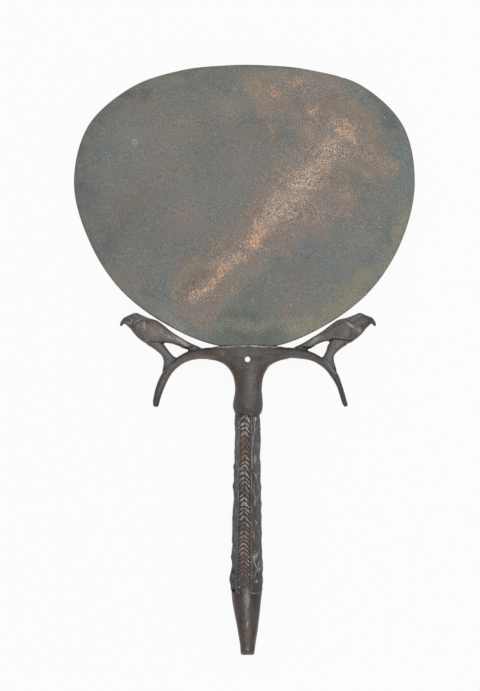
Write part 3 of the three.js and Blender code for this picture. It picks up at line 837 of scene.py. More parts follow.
# %% The disc's stains
DISC_SPOTS = {
    "copper": [  # where the patina is rubbed down to bare metal
        (0.95, (3, 44.6), 5, 3.6, 48), (0.55, (-15.5, 34), 3, 1.5, 5), (0.6, (15.5, 58.5), 9, 5.8, 50),
        (0.55, (22.5, 66), 8, 6.5, 50), (0.4, (31, 77), 8, 4.5, 52), (1, (40.5, 88.5), 6.6, 2.3, -48),
        (1, (26.1, 96), 2.2, 1.8), (0.55, (9.4, 103.7), 3, 2.6), (0.25, (45, 87), 4, 3),
        (0.2, (13, 79), 5, 6, 40), (0.45, (18.2, 110), 3, 1.6, 20), (0.12, (22, 106), 8, 4),
        (0.3, (25, 87), 4, 3), (0.25, (24, 80), 4, 5), (0.5, (26.5, 91.5), 2.2, 1.3, 40),
        (0.45, (34, 95.5), 2.6, 2), (0.4, (9.5, 91), 2, 3.5), (0.3, (38.5, 60.5), 4, 2.6, 10),
        (0.25, (28, 54), 5, 4, 30), (0.25, (52, 77), 5, 3, -60), (0.3, (40, 78), 5, 3, 40),
    ],
    "ember": [  # where the bare metal is reddest
        (1, (3, 44.6), 6, 4.5, 48), (0.8, (-13, 28.5), 9, 4, 45), (0.6, (41, 88), 6, 3, -48),
        (0.8, (9.4, 103.7), 4, 3.5), (0.6, (26.1, 96), 3, 3), (0.4, (18, 110), 5, 3),
    ],
    "umber": [  # brown blooms
        (0.4, (-6.4, 98), 6, 5), (0.6, (-47.5, 59.5), 8, 4.5, 30), (0.4, (-51.5, 54), 4, 3),
        (0.35, (-42, 100), 9, 4, 10), (0.35, (-29, 58), 5, 5), (0.35, (-36, 64), 7, 4, 20),
        (0.35, (-31, 88), 8, 4, -20), (0.3, (-18, 92), 7, 6), (0.35, (-4, 79), 4, 12),
        (0.3, (-31, 41), 4, 9), (0.35, (-26, 50), 6, 5), (0.25, (-61, 95), 3, 10, -30),
        (0.35, (8, 82), 6, 9), (1, (-22.5, 26.5), 7, 2.8, 62), (0.5, (-12, 38), 8, 2.4, 45),
        (0.5, (33, 99), 5, 3),
    ],
    "olive": [  # yellowish edges and patches
        (0.6, (12, 112), 8, 2), (0.5, (-22, 111), 22, 2.5, 6), (0.6, (45, 98.5), 6, 3.5, -40),
        (0.5, (19.5, 100.5), 6, 5), (0.5, (3, 107), 4, 5), (0.4, (12, 92), 3, 5), (0.3, (-24, 88), 8, 6),
        (0.6, (-46, 21.5), 6, 1.6, -42), (0.6, (-31, 11), 9, 2.2, -38), (0.45, (-66, 45), 2, 12, 8),
    ],
    "moss": [  # dull green, above the handle
        (1, (-3, 3.4), 13, 3), (0.8, (9, 4.6), 6, 2.2, 8), (1, (-1.5, 12.8), 9, 3),
        (0.5, (1, 20), 8, 3.5), (0.3, (58, 46), 2, 6),
    ],
    "teal": [  # blue-green, mostly on the right
        (0.8, (65, 80), 2.4, 10, 8), (0.8, (65.5, 68), 2.2, 9), (0.6, (56, 96), 4, 9, 35),
        (0.35, (45, 42), 12, 8, 40), (0.2, (35, 33), 12, 9, 20), (0.25, (-46, 35), 10, 7, -35),
        (0.4, (-60, 77.5), 4.5, 4.5), (0.3, (-47, 87.5), 7, 5), (0.35, (-10, 58.5), 8, 6, 20),
        (0.5, (-33, 15.5), 6, 2.5, -40), (0.4, (10, 31), 9, 5), (0.9, (-40.5, 103.8), 3.2, 1.8, 30),
        (0.8, (57.5, 48.7), 1.6, 4.5),
    ],
    "dark": [  # grey edges and old pits
        (1, (-41, 103.6), 3.4, 2.6, 30), (0.8, (-37.2, 106.3), 2.8, 1.2, 45),
        (1, (-51, 102.8), 3, 2.2, 60), (0.45, (-20, 110), 18, 4, 4), (0.55, (-2, 114.5), 32, 2.6),
        (0.9, (-69.5, 62), 8.5, 28, 8), (0.65, (-60, 40), 7, 14, -25), (0.8, (-63, 92), 4.5, 14, -38),
        (0.6, (-44, 107.5), 14, 3, 32), (0.3, (-45, 48), 12, 12), (0.75, (57, 95), 4, 12, 32),
        (0.5, (58.5, 47.5), 2, 5), (0.25, (18, 32), 14, 7, 30), (0.5, (20.5, 100), 2.6, 3),
        (0.4, (12, 89), 3, 5), (0.4, (5, 94), 8, 2.5, 10), (0.25, (-18, 80), 5, 8),
        (0.35, (-45, 24), 9, 5, -42), (0.9, (-66.4, 63.1), 0.8, 0.8), (0.55, (-22.5, 26.5), 6.5, 2.4, 62),
        (0.25, (-14, 17), 5, 3, 30),
    ],
    "pale": [  # chalky clouds and two scratches
        (0.6, (-6.4, 98.6), 6, 5), (0.35, (20, 111), 20, 4, -6), (0.35, (48, 46), 7, 4, 40),
        (0.3, (-46, 86), 5, 4), (0.25, (-26, 55), 8, 8), (0.35, (0, 74), 7, 8), (0.25, (-30, 84), 9, 7),
        (0.4, (-42, 76), 2, 2), (0.7, (-33, 11.5), 8, 2.4, -38), (0.5, (3, 8.2), 12, 1.6),
    ],
}
DISC_STROKES = {
    "copper": [
        (0.66, 2.7, [(-21.5, 21.4), (-15.6, 26), (-10.5, 30.5), (-4.5, 35)]),
        (0.55, 4.4, [(2, 43), (11.5, 55.5), (19, 64), (26.5, 73.5), (34, 83), (38.5, 89)]),
    ],
    "umber": [
        (0.5, 2.6, [(-27.5, 28), (-21, 38.5), (-9, 48.5), (2, 57)]),
    ],
    "olive": [
        (0.9, 4.6, [(19, 6.5), (28.5, 9.5), (35.5, 12.5), (44, 19)]),
        (0.75, 3, [(42, 20), (50, 28), (58, 38), (62, 45), (66, 55)]),
    ],
    "pale": [
        (0.9, 0.45, [(46, 41), (54, 47.5)]),
        (0.5, 0.4, [(48.5, 40.5), (52, 44)]),
    ],
}
# The brown halo round the rubbed streak: bands of a half width along a path, with a pale tide line at their
# border.
HALO = [
    (11, [(-20, 21.8), (-8, 33)]),
    (10.5, [(-8, 33), (4, 44.5), (14, 58)]),
    (12.5, [(14, 58), (27, 74)]),
    (4, [(18, 50), (28.5, 48.5)]),
    (5, [(25, 60), (38, 59)]),
    (8, [(10, 103), (30, 104)]),
    (9, [(27, 96), (44, 90)]),
    (4.5, [(48, 82), (57.5, 71)]),
    (5.5, [(41, 80), (51, 74)]),
]
HALO_EDGE = 1.1
TIDE = {"least": 0.3, "inside": 0.8, "width": 2}
TIDE_SPOTS = [(0.5, (-18, 25), 20), (1, (52, 74), 12), (1, (8, 103), 9)]  # strength, middle and reach
LIME_RING = {"at": (-46.4, 84), "radius": 0.9, "width": 0.35}
DISC_FADE = 0.6  # the height over the middle plane at which the front's stains are full
DISC_SHIFT = [(2.2, 9, 61, 71), (1.7, 3.6, 62, 72), (0.8, 1.5, 63, 73)]


def stain_disc(piece):
    """Shifts the drawing by noise of three sizes and stores each stain; the rim and the back keep the plain
    ground. The halo is a soft step where a band's half width less the distance from its path passes
    nought."""
    points = points_of(piece)
    x, y = wandered(points * [1, 1, 0], DISC_SHIFT)
    front = np.clip(points[:, 2] / DISC_FADE, 0, 1)
    store_marks(piece, x, y, front, DISC_SPOTS, DISC_STROKES)
    within = np.max([half_width - from_line(x, y, path) for half_width, path in HALO], axis=0)
    keep(piece, "halo", front * past(within, HALO_EDGE))
    clear = TIDE["least"] + sum(strength * spot(x, y, at, reach, reach) for strength, at, reach in TIDE_SPOTS)
    keep(piece, "tide", front * clear * bump(within - TIDE["inside"], TIDE["width"]))
    ring = np.hypot(points[:, 0] - LIME_RING["at"][0], points[:, 1] - LIME_RING["at"][1])
    keep(piece, "lime", front * bump(ring - LIME_RING["radius"], LIME_RING["width"]))


stain_disc(disc)

# %% [markdown]
# ## Bronze in nodes
# Both finishes are Principled shaders whose colour is laid down in coats, as patina forms: a mottled
# ground, then each stain through its own grain. On the handle some coats are painted light and shade.
# Noise reads Object coordinates, so every grain has its true size in millimetres.

# %% Small helpers for nodes


def ink(red, green, blue):
    """A colour given as 0 to 255 on a screen, as the linear light that a shader needs: v/12.92 for the
    darkest, and ((v + 0.055)/1.055)^2.4 for the rest."""
    v = np.array([red, green, blue]) / 255
    return *np.where(v <= 0.04045, v / 12.92, ((v + 0.055) / 1.055) ** 2.4).tolist(), 1.0


def node(tree, kind, inputs, output=0, **settings):
    """Adds a node, fills its inputs with numbers or with other nodes' outputs, and returns one of its
    outputs."""
    made = tree.nodes.new(kind)
    for name, value in settings.items():
        setattr(made, name, value)
    for name, value in inputs.items():
        if isinstance(value, bpy.types.NodeSocket):
            tree.links.new(value, made.inputs[name])
        else:
            made.inputs[name].default_value = value
    return made.outputs[output]


def grain(tree, size, detail, rough, seed):
    """Noise with blobs of about that many millimetres, from 0 to 1 with most of it near a half."""
    place = node(tree, "ShaderNodeTexCoord", {}, "Object")
    place = node(tree, "ShaderNodeMapping", {"Vector": place, "Location": (seed, -seed, seed)})
    looks = {"Scale": 1000 / size, "Detail": detail, "Roughness": rough}
    return node(tree, "ShaderNodeTexNoise", {"Vector": place, **looks})


def mask(tree, name):
    """A number kept on the points."""
    return node(tree, "ShaderNodeAttribute", {}, "Fac", attribute_name=name)


def plus(tree, a, b):
    """The sum of two numbers."""
    return node(tree, "ShaderNodeMath", {0: a, 1: b}, operation="ADD")


def times(tree, a, b):
    """The product of two numbers."""
    return node(tree, "ShaderNodeMath", {0: a, 1: b}, operation="MULTIPLY")


def span(tree, value, low, high, to_low=0.0, to_high=1.0):
    """Carries low..high to another range, held at both ends."""
    ends = {"From Min": low, "From Max": high, "To Min": to_low, "To Max": to_high}
    return node(tree, "ShaderNodeMapRange", {"Value": value, **ends})


def coat(tree, amount, under, over, how="MIX"):
    """Lays one colour over another by an amount; 6 and 7 are the Mix node's two colours."""
    return node(tree, "ShaderNodeMix", {0: amount, 6: under, 7: over}, 2, data_type="RGBA", blend_type=how)


# %% Grounds and coats


def mottle(tree, value, reach, shades):
    """Colours in even steps along a noise's usual range, a reach to either side of a half."""
    ramp = tree.nodes.new("ShaderNodeValToRGB")
    tree.links.new(span(tree, value, 0.5 - reach, 0.5 + reach), ramp.inputs["Fac"])
    stops = ramp.color_ramp.elements
    while len(stops) < len(shades):
        stops.new(0.5)
    for n, shade in enumerate(shades):
        stops[n].position, stops[n].color = n / (len(shades) - 1), ink(*shade)
    return ramp.outputs["Color"]


def ground(tree, layers):
    """A mottled ground: mottles of several sizes, each laid by its share over those before it."""
    colour = None
    for share, value, reach, shades in layers:
        over = mottle(tree, value, reach, shades)
        colour = over if colour is None else coat(tree, share, colour, over)
    return colour


def coats_over(tree, colour, coats, low, high):
    """Lays the stains, and any painted light and shade, on in turn. A stain's amount is its mask times a
    noise, which low..high carries to least..most, so that its grain breaks it up."""
    for name, breaking, least, most, shade in coats:
        amount = times(tree, mask(tree, name), span(tree, breaking, low, high, least, most))
        colour = coat(tree, amount, colour, ink(*shade))
    return colour


# %% Grit, shader and slot


def sanded(tree, colour, sand, reach):
    """Darkens and lightens the colour by up to a reach with the finest noise."""
    grit = span(tree, sand, 0.3, 0.7, 1 - reach, 1 + reach)
    grey = node(tree, "ShaderNodeCombineColor", {0: grit, 1: grit, 2: grit})
    return coat(tree, 1.0, colour, grey, "MULTIPLY")


def new_finish(name):
    """An empty Principled material, its tree and its shader's inputs."""
    material = bpy.data.materials.new(name)
    material.use_nodes = True
    return material, material.node_tree, material.node_tree.nodes["Principled BSDF"].inputs


def surface(tree, inputs, colour, roughness, fine, sand, strength, depth):
    """Joins a colour, a roughness and a low bump, 0.6 fine + 0.4 sand, to the shader."""
    height = plus(tree, times(tree, fine, 0.6), times(tree, sand, 0.4))
    bumped = node(tree, "ShaderNodeBump", {"Height": height, "Strength": strength, "Distance": depth})
    for socket, value in (("Base Color", colour), ("Roughness", roughness), ("Normal", bumped)):
        tree.links.new(value, inputs[socket])


def dress(piece, material):
    """Gives the whole piece one material, in place of any empty slot that the joins left."""
    piece.data.materials.clear()
    piece.data.materials.append(material)
    print(material.name, "has", len(material.node_tree.nodes), "nodes")


# %% The disc's patina


def patina():
    """Grey-green patina: a ground in four greys with three more mottles over it, then blue-green, olive,
    brown and chalky coats. The streak is a brown stain with bare specks, which are redder in the ember
    spots."""
    material, tree, inputs = new_finish("patinated_disc")
    inputs["Metallic"].default_value = 0.25
    broad, cloud = grain(tree, 20, 7, 0.62, 0), grain(tree, 11, 5, 0.6, 15)
    middle, tint = grain(tree, 4.5, 6, 0.7, 3), grain(tree, 4.2, 6, 0.72, 11)
    fine, sand, dust = grain(tree, 1.3, 3, 0.65, 5), grain(tree, 0.45, 2, 0.7, 7), grain(tree, 1, 1, 0.5, 9)
    colour = ground(tree, [
        (1, broad, 0.2, [(96, 99, 95), (108, 106, 99), (108, 109, 108), (121, 111, 99)]),
        (0.6, middle, 0.2, [(84, 87, 86), (109, 107, 103), (131, 118, 105)]),
        (0.4, tint, 0.2, [(92, 106, 95), (109, 107, 102), (119, 106, 107)]),
        (0.5, cloud, 0.13, [(99, 105, 102), (108, 108, 102), (118, 107, 95)]),
    ])
    coats = [
        ("teal", middle, 0.6, 1.0, (100, 114, 111)),
        ("olive", middle, 0.5, 1.0, (127, 124, 102)),
        ("moss", fine, 0.7, 1.0, (87, 96, 80)),
        ("halo", middle, 0.5, 1.0, (119, 108, 100)),
        ("umber", middle, 0.35, 1.0, (114, 101, 88)),
        ("tide", middle, 0.1, 0.85, (134, 119, 97)),
        ("pale", middle, 0.2, 0.75, (137, 131, 124)),
        ("dark", middle, 0.35, 0.85, (78, 81, 82)),
    ]
    colour = coats_over(tree, colour, coats, 0.38, 0.6)
    patchy = times(tree, span(tree, fine, 0.34, 0.6, 0.35, 1.15), span(tree, middle, 0.34, 0.6, 0.6, 1.15))
    copper = times(tree, mask(tree, "copper"), patchy)
    colour = coat(tree, span(tree, copper, 0.0, 1.0, 0.0, 0.85), colour, ink(130, 110, 95))
    specks = span(tree, plus(tree, sand, times(tree, copper, 0.11)), 0.5, 0.62)
    bared = plus(tree, span(tree, copper, 0.02, 0.6, 0.0, 0.72), times(tree, mask(tree, "halo"), 0.13))
    bare_metal = coat(tree, mask(tree, "ember"), ink(182, 158, 138), ink(206, 158, 119))
    colour = coat(tree, times(tree, specks, bared), colour, bare_metal)
    colour = sanded(tree, colour, sand, 0.44)
    chalk = plus(tree, span(tree, dust, 0.7, 0.8, 0.0, 0.7), times(tree, mask(tree, "lime"), 0.45))
    colour = coat(tree, chalk, colour, ink(160, 162, 158))
    surface(tree, inputs, colour, span(tree, middle, 0.3, 0.7, 0.55, 0.72), fine, sand, 0.3, 0.00012)
    return material


dress(disc, patina())

# %% [markdown]
# ## The handle's bronze
# The handle is the same metal, but it was held and not polished: it is darker. Painted shade darkens its
# hollows, creases and the sides that turn from the light, and painted highlights and sheen lighten its
# edges, tops and the middle of the stem. Its stains and this painted light are drawn as the disc's stains
# are. The relief's own height is kept as two more masks: grooves are darkened, as dirt and as painted shade,
# and ridge tops are lightened, as rubbing and as painted highlight.

# %% The handle's stains
HANDLE_SPOTS = {
    "bloom_and_sheen": [  # a grey bloom on the birds and legs, with painted sheen on the tails, down the neck's middle, along the stem's ribs and down the middle of its plain end
        (1, (-40, 6), 9, 6, -30), (0.8, (40, 6), 9, 6, 30), (0.6, (-34, -2), 4, 5),
        (0.6, (34.5, -2), 4, 5), (0.6, (-27, 2), 8, 2.2, -32), (0.6, (27, 2.2), 8, 2.2, 30),
        (0.35, (1, -14), 2.2, 9), (0.9, (-0.6, -104), 1, 5), (0.5, (-0.3, -112), 0.9, 6),
        (0.5, (-4.6, -47), 0.8, 14), (0.5, (-5, -78), 0.8, 14), (0.6, (3.6, -47), 1.2, 12),
        (0.4, (4.2, -72), 1.4, 12),
    ],
    "worn": [  # painted highlights on the birds' heads, shoulders, breasts, backs and tails, on the flare's edge and down the middle of the stem's plain end
        (0.5, (45.5, 6.4), 0.9, 0.9), (0.6, (27.5, 2.7), 2.2, 0.7, 30), (0.5, (-42, 8.3), 0.4, 2, 8),
        (0.5, (-46.2, 13.2), 1.3, 0.35, 10), (0.6, (-27, 1.8), 3.4, 0.7, -31),
        (0.4, (-32, 3.9), 1.8, 0.6, -30), (0.4, (8.3, -8.2), 1.5, 0.3, 48),
        (0.22, (-0.6, -103.5), 0.7, 4),
    ],
    "copper": [  # bare metal at the lip's corners
        (0.7, (-10.7, -2.5), 1.3, 1.3), (0.4, (-12.6, -1.2), 2.4, 0.6), (0.35, (-7, -0.6), 3, 0.5),
        (0.45, (12.8, -1.5), 1.8, 0.7), (0.4, (2.3, -8), 0.5, 0.8), (0.25, (8.6, -5.6), 1, 2, -30),
        (0.3, (4, -2.6), 0.6, 0.5),
    ],
    "umber": [  # brown patches
        (0.75, (-38.4, 7.9), 3.4, 2.6, -20), (0.45, (9, -5.5), 2.5, 3), (0.4, (-9, -6), 3, 3),
        (0.35, (1.5, -15), 2.6, 7), (0.5, (-0.5, -118), 2.6, 8), (0.5, (-3.5, -107), 1.6, 4),
        (0.4, (2, -78), 1, 8),
    ],
    "verdigris": [  # green under the lip
        (0.6, (-2.3, -4), 2.2, 4, 15), (0.35, (0, -1.5), 6, 1.4), (0.3, (3.6, -19), 1, 4),
    ],
    "olive": [  # yellowish patches
        (0.9, (-35.6, 7.2), 0.8, 1.8, 15), (0.15, (0.3, -23.5), 1.6, 1.8), (0.12, (1.2, -12), 0.8, 5),
        (0.25, (-0.6, -119.5), 1.6, 4), (0.4, (2.4, -111), 0.8, 4),
    ],
    "chip": [  # black losses
        (1, (-5.95, -92.4), 0.6, 1), (1, (-5.8, -99.9), 1.1, 0.55), (0.6, (-6.6, -96.8), 0.3, 0.5),
        (0.7, (-2.9, -60.5), 0.35, 0.3),
    ],
    "shade_and_dark_patina": [  # painted shade in hollows and creases, under the right tail, at the neck's foot, along the arms and on the sides of the flare, neck and stem's end, with darker patina on the wings and heads
        (0.9, (-9, -9.5), 3, 5, 30), (0.8, (9.5, -9), 3, 5, -30), (0.7, (-4.2, -16), 1.5, 8),
        (0.5, (5, -15), 1.3, 6), (0.6, (-18, -2.4), 6, 1.3), (0.6, (18.5, -2.2), 6, 1.2),
        (0.8, (0, -27.5), 7, 1), (0.6, (37, -12), 2, 8, 25), (0.7, (-4.8, -106), 1.2, 6, 10),
        (0.6, (2, -104), 1.2, 4), (0.5, (37.6, 6.8), 3.4, 2.4, 20), (0.9, (-48.95, 10.85), 0.5, 0.5),
        (0.8, (-34.9, 1.4), 0.6, 0.4), (0.9, (23.6, -0.5), 1.6, 0.6, 10), (0.5, (-46.5, 10), 1.2, 3, -40),
        (0.5, (46.5, 10.5), 1.5, 2.6, 40), (0.4, (48.8, 10.2), 1.6, 1.8),
    ],
    "steel_and_highlight": [  # bluish grey on the feet and heads, and painted bluish highlights where the cords cross, along both sides of the sheath and down the middle of the plain end
        (0.7, (3.8, -44), 1, 9), (0.6, (4, -63), 1, 9), (0.5, (4.6, -85), 1.2, 9),
        (0.5, (-4.6, -50), 0.8, 16), (0.95, (34.3, -6.7), 1.5, 3.4, 15),
        (0.9, (-33.5, -7), 1.5, 2.6, -20), (0.7, (-0.6, -104.5), 1, 5), (0.8, (5.6, -60), 1.6, 40, 3),
        (0.5, (-5, -60), 1, 40, -2), (0.5, (-47.5, 11), 2, 2.4), (0.5, (47, 11), 2.4, 2.4),
    ],
    "pale": [  # chalk on the lip and in the strands, and painted highlights where the cords cross and along the rim of the cut end
        (0.9, (3.05, -29.4), 0.4, 0.55), (0.5, (-0.2, -114), 0.25, 0.9), (0.6, (-0.3, -124.2), 0.3, 0.35),
        (0.5, (3.3, -96.4), 0.45, 0.4), (0.6, (3.4, -86), 0.5, 1.8, -20), (0.6, (4.3, -91), 0.35, 1),
        # The two spots at 2.8 across are painted highlights where the cords cross.
        (0.5, (2.8, -45.8), 0.4, 1.6), (0.5, (2.8, -64), 0.4, 1.4), (0.4, (-45.7, 6.1), 0.3, 0.3),
    ],
}
HANDLE_STROKES = {
    # Painted sheen along the arms' lower edges, down both edges of the plain end and along the left ribs.
    "bloom_and_sheen": [
        (0.5, 1, [
            (-14, -4.9), (-20.5, -4.6), (-25.5, -5.6), (-29.8, -8.4), (-33.2, -12.4), (-35.8, -17.8),
        ]),
        (0.35, 0.7, [(14, -4.5), (20.5, -4.6), (26, -5.7), (31, -8.7), (34.2, -12.4), (37.1, -17)]),
        (0.8, 0.4, [(-6.5, -101.5), (-4.5, -114.5), (-3.2, -123)]),
        (0.8, 0.4, [(5.9, -101.5), (4.1, -114.5), (2.9, -123)]),
        (0.35, 0.3, [(-3.75, -31), (-3.9, -60), (-4.2, -97)]),
        (0.6, 0.25, [(-4.7, -30), (-4.9, -55)]),
    ],
    # Painted highlights along the wing shoulder, the nape, the backs, the arms' edges and the eye's rim.
    "worn": [
        (0.95, 0.3, [(39.9, 10.3), (41.3, 9.3), (42.8, 8.1)]),
        (0.8, 0.28, [(45.2, 12.3), (46.4, 13.1)]),
        (0.35, 0.22, [(42.6, 10.6), (44.5, 11.6), (45.8, 12.6)]),
        (0.3, 0.18, [(-43.3, 11.6), (-44.8, 10.7), (-46.7, 9.3)]),
        (0.6, 0.16, [(30.6, -5.2), (33.3, -7.4), (36.3, -11)]),
        (0.35, 0.16, [(-30.6, -7), (-32.9, -9.1), (-35.1, -10.7)]),
        (0.28, 0.6, [(-44.5, 13.2), (-41, 11.2), (-37.5, 10), (-33.5, 7.3), (-29, 4.4), (-25.5, 2.3)]),
        (0.28, 0.6, [(44.8, 12.9), (41, 11.3), (38.5, 11), (35, 8.8), (31, 6.1), (27, 3.6)]),
        (0.4, 0.18, [(-44.9, 8.4), (-45.8, 6.7), (-45.7, 5)]),
        (0.7, 0.2, [(-49.7, 10.1), (-49.1, 9.65), (-48.4, 9.9), (-48.1, 10.8)]),
        (0.3, 0.3, [(-46.3, 12), (-45.4, 12.3), (-44.9, 11.7)]),
    ],
    "copper": [
        (0.22, 1.4, [(-2.4, -35), (-2.2, -50)]),
        (0.2, 1.6, [(-1.8, -74), (-1.6, -88)]),
    ],
    "umber": [
        (0.6, 2.2, [(-1.4, -33), (-1.5, -97)]),
        (1, 0.55, [(40.2, 9.2), (41.6, 7.6), (42.8, 5.4)]),
        (0.35, 1.2, [(-20.5, -3.6), (-26, -4.9), (-31, -8), (-35, -14), (-37, -20)]),
        (0.3, 1.2, [(20.5, -3.2), (26.5, -4.6), (32, -8.2), (36.2, -14)]),
        (0.45, 1.1, [(-5, -7), (-4.2, -14), (-4.3, -20), (-4.8, -24.5)]),
        (0.35, 1, [(5.6, -8), (5, -14), (5.2, -22)]),
    ],
    # Painted shade along the arms and down both sides of the stem's plain end.
    "shade_and_dark_patina": [
        (0.5, 1.6, [(20, -2.5), (28, -4.3), (33.5, -8.8), (37.5, -15), (39.8, -22)]),
        (0.5, 1.3, [(-20, -2.5), (-28, -4.3), (-33, -8.8), (-36.5, -15), (-37.8, -23)]),
        (0.8, 1.1, [(-3.9, -101.5), (-3, -112), (-2, -122)]),
        (0.8, 1.2, [(2.7, -101.5), (2.1, -112), (1.5, -121)]),
    ],
    "pale": [
        (0.55, 0.2, [(-13.6, -0.2), (-6, 0.15), (-2.5, 0.4)]),
        (0.95, 0.24, [(-2.5, 0.4), (0.5, 0.5), (3.5, 0.3)]),
        (0.75, 0.2, [(3.5, 0.3), (6.5, 0.1), (13.6, -0.15)]),
        (0.5, 0.16, [(-4.1, -31.3), (-3, -29.9), (-1.2, -29), (0.6, -30.6), (1.6, -33.6)]),
        (0.5, 0.16, [(-4.1, -33.6), (-2.6, -32.2), (-1.3, -31), (-0.6, -33), (0.4, -35.2)]),
        (0.4, 0.16, [(-3.6, -50.4), (-2.4, -48.9), (-1.4, -48.4), (-0.2, -49.6), (0.3, -51)]),
        (0.45, 0.18, [(3, -30), (2.4, -36), (1.7, -42), (1.6, -50)]),
        (0.35, 0.18, [(-5.5, -99.6), (-3.5, -100.6)]),
        (0.35, 0.18, [(1.5, -100.6), (4.3, -101.2)]),
        # A painted highlight along the rim of the cut end.
        (0.5, 0.2, [(-2.6, -126), (0, -126.4), (2.4, -126.1)]),
    ],
}
HANDLE_SHIFT = [(0.5, 2.2, 31, 32)]
HANDLE_FADE = {"from": -1.2, "over": 1.5}  # heights between which the front's stains come in
CARVED_FROM = -27.5  # the sheath's relief starts below this
GROOVE = {"from": 0.06, "over": 0.18}  # how deep a groove must be to be darkened, as dirt and as painted shade
RIDGE = {"from": 0.1, "over": 0.13}  # how high a ridge must be to be lightened, as rubbing and as painted highlight


def mark_handle(piece):
    """Stores the handle's stains and its patches of painted light and shade, and how far each point of the
    sheath
    and of the birds lies in or out: a mask is (height - from) / over, held between 0 and 1."""
    points = points_of(piece)
    x, y = wandered(points, HANDLE_SHIFT)
    front = np.clip((points[:, 2] - HANDLE_FADE["from"]) / HANDLE_FADE["over"], 0, 1)
    store_marks(piece, x, y, front, HANDLE_SPOTS, HANDLE_STROKES)
    x, y, z = points.T
    middle, half_width, half_depth = stem_at(y)
    angle = angle_from_plait(np.arctan2((x - middle) / half_width, z / half_depth) - PLAIT["turn"])
    carved = (y < CARVED_FROM) & (y > sheath_end(angle))
    height = np.where(carved, sheath_relief(angle, y, []), chased(x, y))
    keep(piece, "groove", (-height - GROOVE["from"]) / GROOVE["over"])
    keep(piece, "ridge", (height - RIDGE["from"]) / RIDGE["over"])


mark_handle(handle)

# %% The dark bronze


def dark_bronze():
    """Dark brown bronze: a ground from near black to grey-brown, then a grey bloom with painted sheen,
    painted shade with some darker patina, bluish grey with painted highlights, and brown, green and olive
    coats, then ridges lighter by rubbing and painted highlight and grooves darker by dirt and painted shade,
    and last chips, copper, painted highlights on edges and tops, and chalk with a few painted highlights."""
    material, tree, inputs = new_finish("dark_bronze")
    inputs["Metallic"].default_value = 0.5
    broad, middle = grain(tree, 11, 6, 0.62, 0), grain(tree, 3, 5, 0.65, 3)
    tint, fine, sand = grain(tree, 2.2, 5, 0.7, 11), grain(tree, 1.1, 3, 0.6, 5), grain(tree, 0.45, 2, 0.6, 7)
    colour = ground(tree, [
        (1, broad, 0.2, [(58, 53, 51), (70, 67, 65), (83, 82, 80)]),
        (0.5, middle, 0.2, [(50, 46, 44), (70, 67, 65), (93, 91, 89)]),
        (0.35, tint, 0.15, [(86, 66, 58), (69, 67, 65), (72, 76, 70)]),
    ])
    coats = [
        # A grey bloom, with painted sheen and highlight in it.
        ("bloom_and_sheen", middle, 0.45, 0.9, (118, 113, 108)),
        # Painted shade, with some darker patina.
        ("shade_and_dark_patina", middle, 0.35, 0.75, (50, 45, 43)),
        # Bluish grey, partly painted highlight.
        ("steel_and_highlight", middle, 0.4, 0.9, (98, 101, 103)),
        ("umber", fine, 0.35, 0.85, (112, 88, 71)),
        ("verdigris", fine, 0.4, 0.9, (88, 92, 84)),
        ("olive", fine, 0.4, 1.0, (124, 116, 90)),
        # Ridge tops lighter: rubbed metal and painted highlight.
        ("ridge", sand, 0.2, 1.0, (152, 149, 145)),
        # Grooves darker: dirt and dark joints, and painted shade in the birds' deep creases and under the
        # tails.
        ("groove", middle, 0.75, 1.0, (40, 37, 36)),
        ("chip", middle, 1.0, 1.0, (20, 16, 15)),
        ("copper", sand, 0.1, 0.9, (144, 100, 76)),
        # Painted highlights, laid as a light metal colour.
        ("worn", fine, 0.5, 1.0, (188, 178, 173)),
        # Chalk, and some painted highlights.
        ("pale", fine, 0.35, 1.0, (222, 212, 202)),
    ]
    colour = sanded(tree, coats_over(tree, colour, coats, 0.35, 0.62), sand, 0.45)
    surface(tree, inputs, colour, span(tree, middle, 0.3, 0.7, 0.42, 0.58), fine, sand, 0.4, 0.00015)
    return material


dress(handle, dark_bronze())

# %% [markdown]
# ## Onto the table
# Each finished piece is laid down once, by moving its points and not its object, because a pattern on
# Object coordinates has to stay where it was drawn. Smooth shading hides the facets, and corners over 50
# degrees stay sharp.

# %% Laying the pieces down
SHARP = math.radians(50)


def finish_piece(piece, name, node_name):
    """Lays a piece down, shades it smooth but for its sharp corners, and tells the frame what it stands
    for."""
    piece.name = piece.data.name = name
    place_points(piece, lay(points_of(piece)))
    piece.data.shade_smooth()
    piece.data.set_sharp_from_angle(angle=SHARP)
    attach(piece, "root")
    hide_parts(node_name)
    low, high = points_of(piece).min(0), points_of(piece).max(0)
    print(name, "fills", (1000 * low).round(1), "to", (1000 * high).round(1))


finish_piece(disc, "bronze_disc", "mirror_disc")
finish_piece(handle, "bronze_handle", "handle")

# %% [markdown]
# ## The room
# The mirror lies on a plain pale table that glows a little, under four wide soft lamps and an even sky, so
# that no shadow is hard. The camera is a long lens square to the disc's face, and the outline shows with
# hardly any perspective.

# %% Table and sky
FLOOR = {"reach": 8, "drop": 0.0005, "tone": 0.045, "glow": 0.925}  # metres, and shares of white
SKY = {"colour": (0.95, 0.97, 1.0, 1), "strength": 0.6}


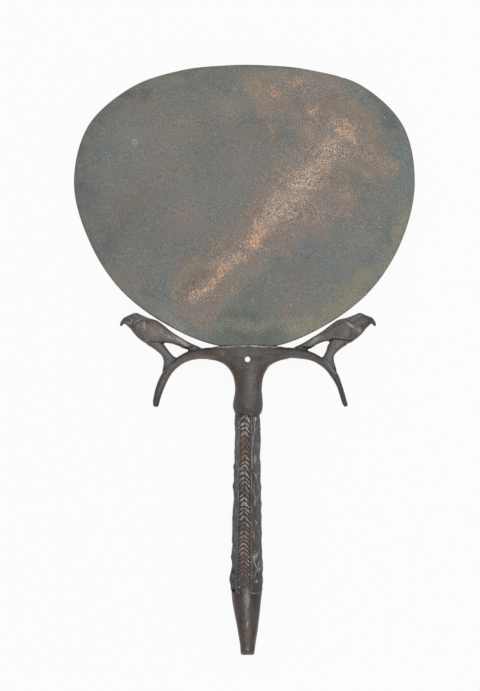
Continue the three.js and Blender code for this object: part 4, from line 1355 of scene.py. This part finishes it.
def pale_table():
    """A matt surface with light of its own, as on a lit table."""
    material, _, inputs = new_finish("pale_table")
    inputs["Base Color"].default_value = (*[FLOOR["tone"]] * 3, 1)
    inputs["Roughness"].default_value = 1
    inputs["Specular IOR Level"].default_value = 0
    inputs["Emission Color"].default_value = (*[FLOOR["glow"]] * 3, 1)
    inputs["Emission Strength"].default_value = 1
    return material


floor_corners = np.array([[-1, -1, 0], [1, -1, 0], [1, 1, 0], [-1, 1, 0]]) * FLOOR["reach"]
floor_mesh = bpy.data.meshes.new("floor")
floor_mesh.from_pydata((floor_corners - [0, 0, FLOOR["drop"]]).tolist(), [], [(0, 1, 2, 3)])
floor = put("floor", floor_mesh)
floor.data.materials.append(pale_table())

world = bpy.data.worlds.new("sky")
bpy.context.scene.world = world
world.use_nodes = True
world.node_tree.nodes["Background"].inputs["Color"].default_value = SKY["colour"]
world.node_tree.nodes["Background"].inputs["Strength"].default_value = SKY["strength"]

# %% Lamps
# Place in metres, width in metres and watts of each square lamp. All of them face the middle of the table.
LAMPS = {
    "left_lamp": ((-0.6, 0.7, 1.0), 0.4, 3),
    "right_lamp": ((0.6, 0.7, 1.0), 0.4, 3.4),
    "top_lamp": ((0.2, -0.15, 1.25), 0.4, 3.4),
    "low_lamp": ((0.0, -0.95, 0.45), 0.8, 3),
}
for name, (place, size, watts) in LAMPS.items():
    light = bpy.data.lights.new(name, "AREA")
    light.size, light.energy = size, watts
    lamp = put(name, light)
    lamp.location = place
    lamp.rotation_euler = (-Vector(place)).to_track_quat("-Z", "Y").to_euler()
print("lamps:", ", ".join(LAMPS))

# %% Camera
LENS, SENSOR = 150, 36  # millimetres
VIEW_HEIGHT = 0.284  # metres of the mirror's plane that the frame shows
AIM = (-3.29, 0.41)  # in the upright drawing
camera_data = bpy.data.cameras.new("camera")
camera_data.lens, camera_data.sensor_width, camera_data.clip_end = LENS, SENSOR, 50
camera = put("camera", camera_data)
camera.location = lay([*AIM, 1000 * VIEW_HEIGHT * LENS / SENSOR])
camera.rotation_euler = (-TILT, 0, 0)
bpy.context.scene.camera = camera
bpy.context.scene.view_settings.view_transform = "Standard"
print("camera at", [round(v, 3) for v in camera.location])
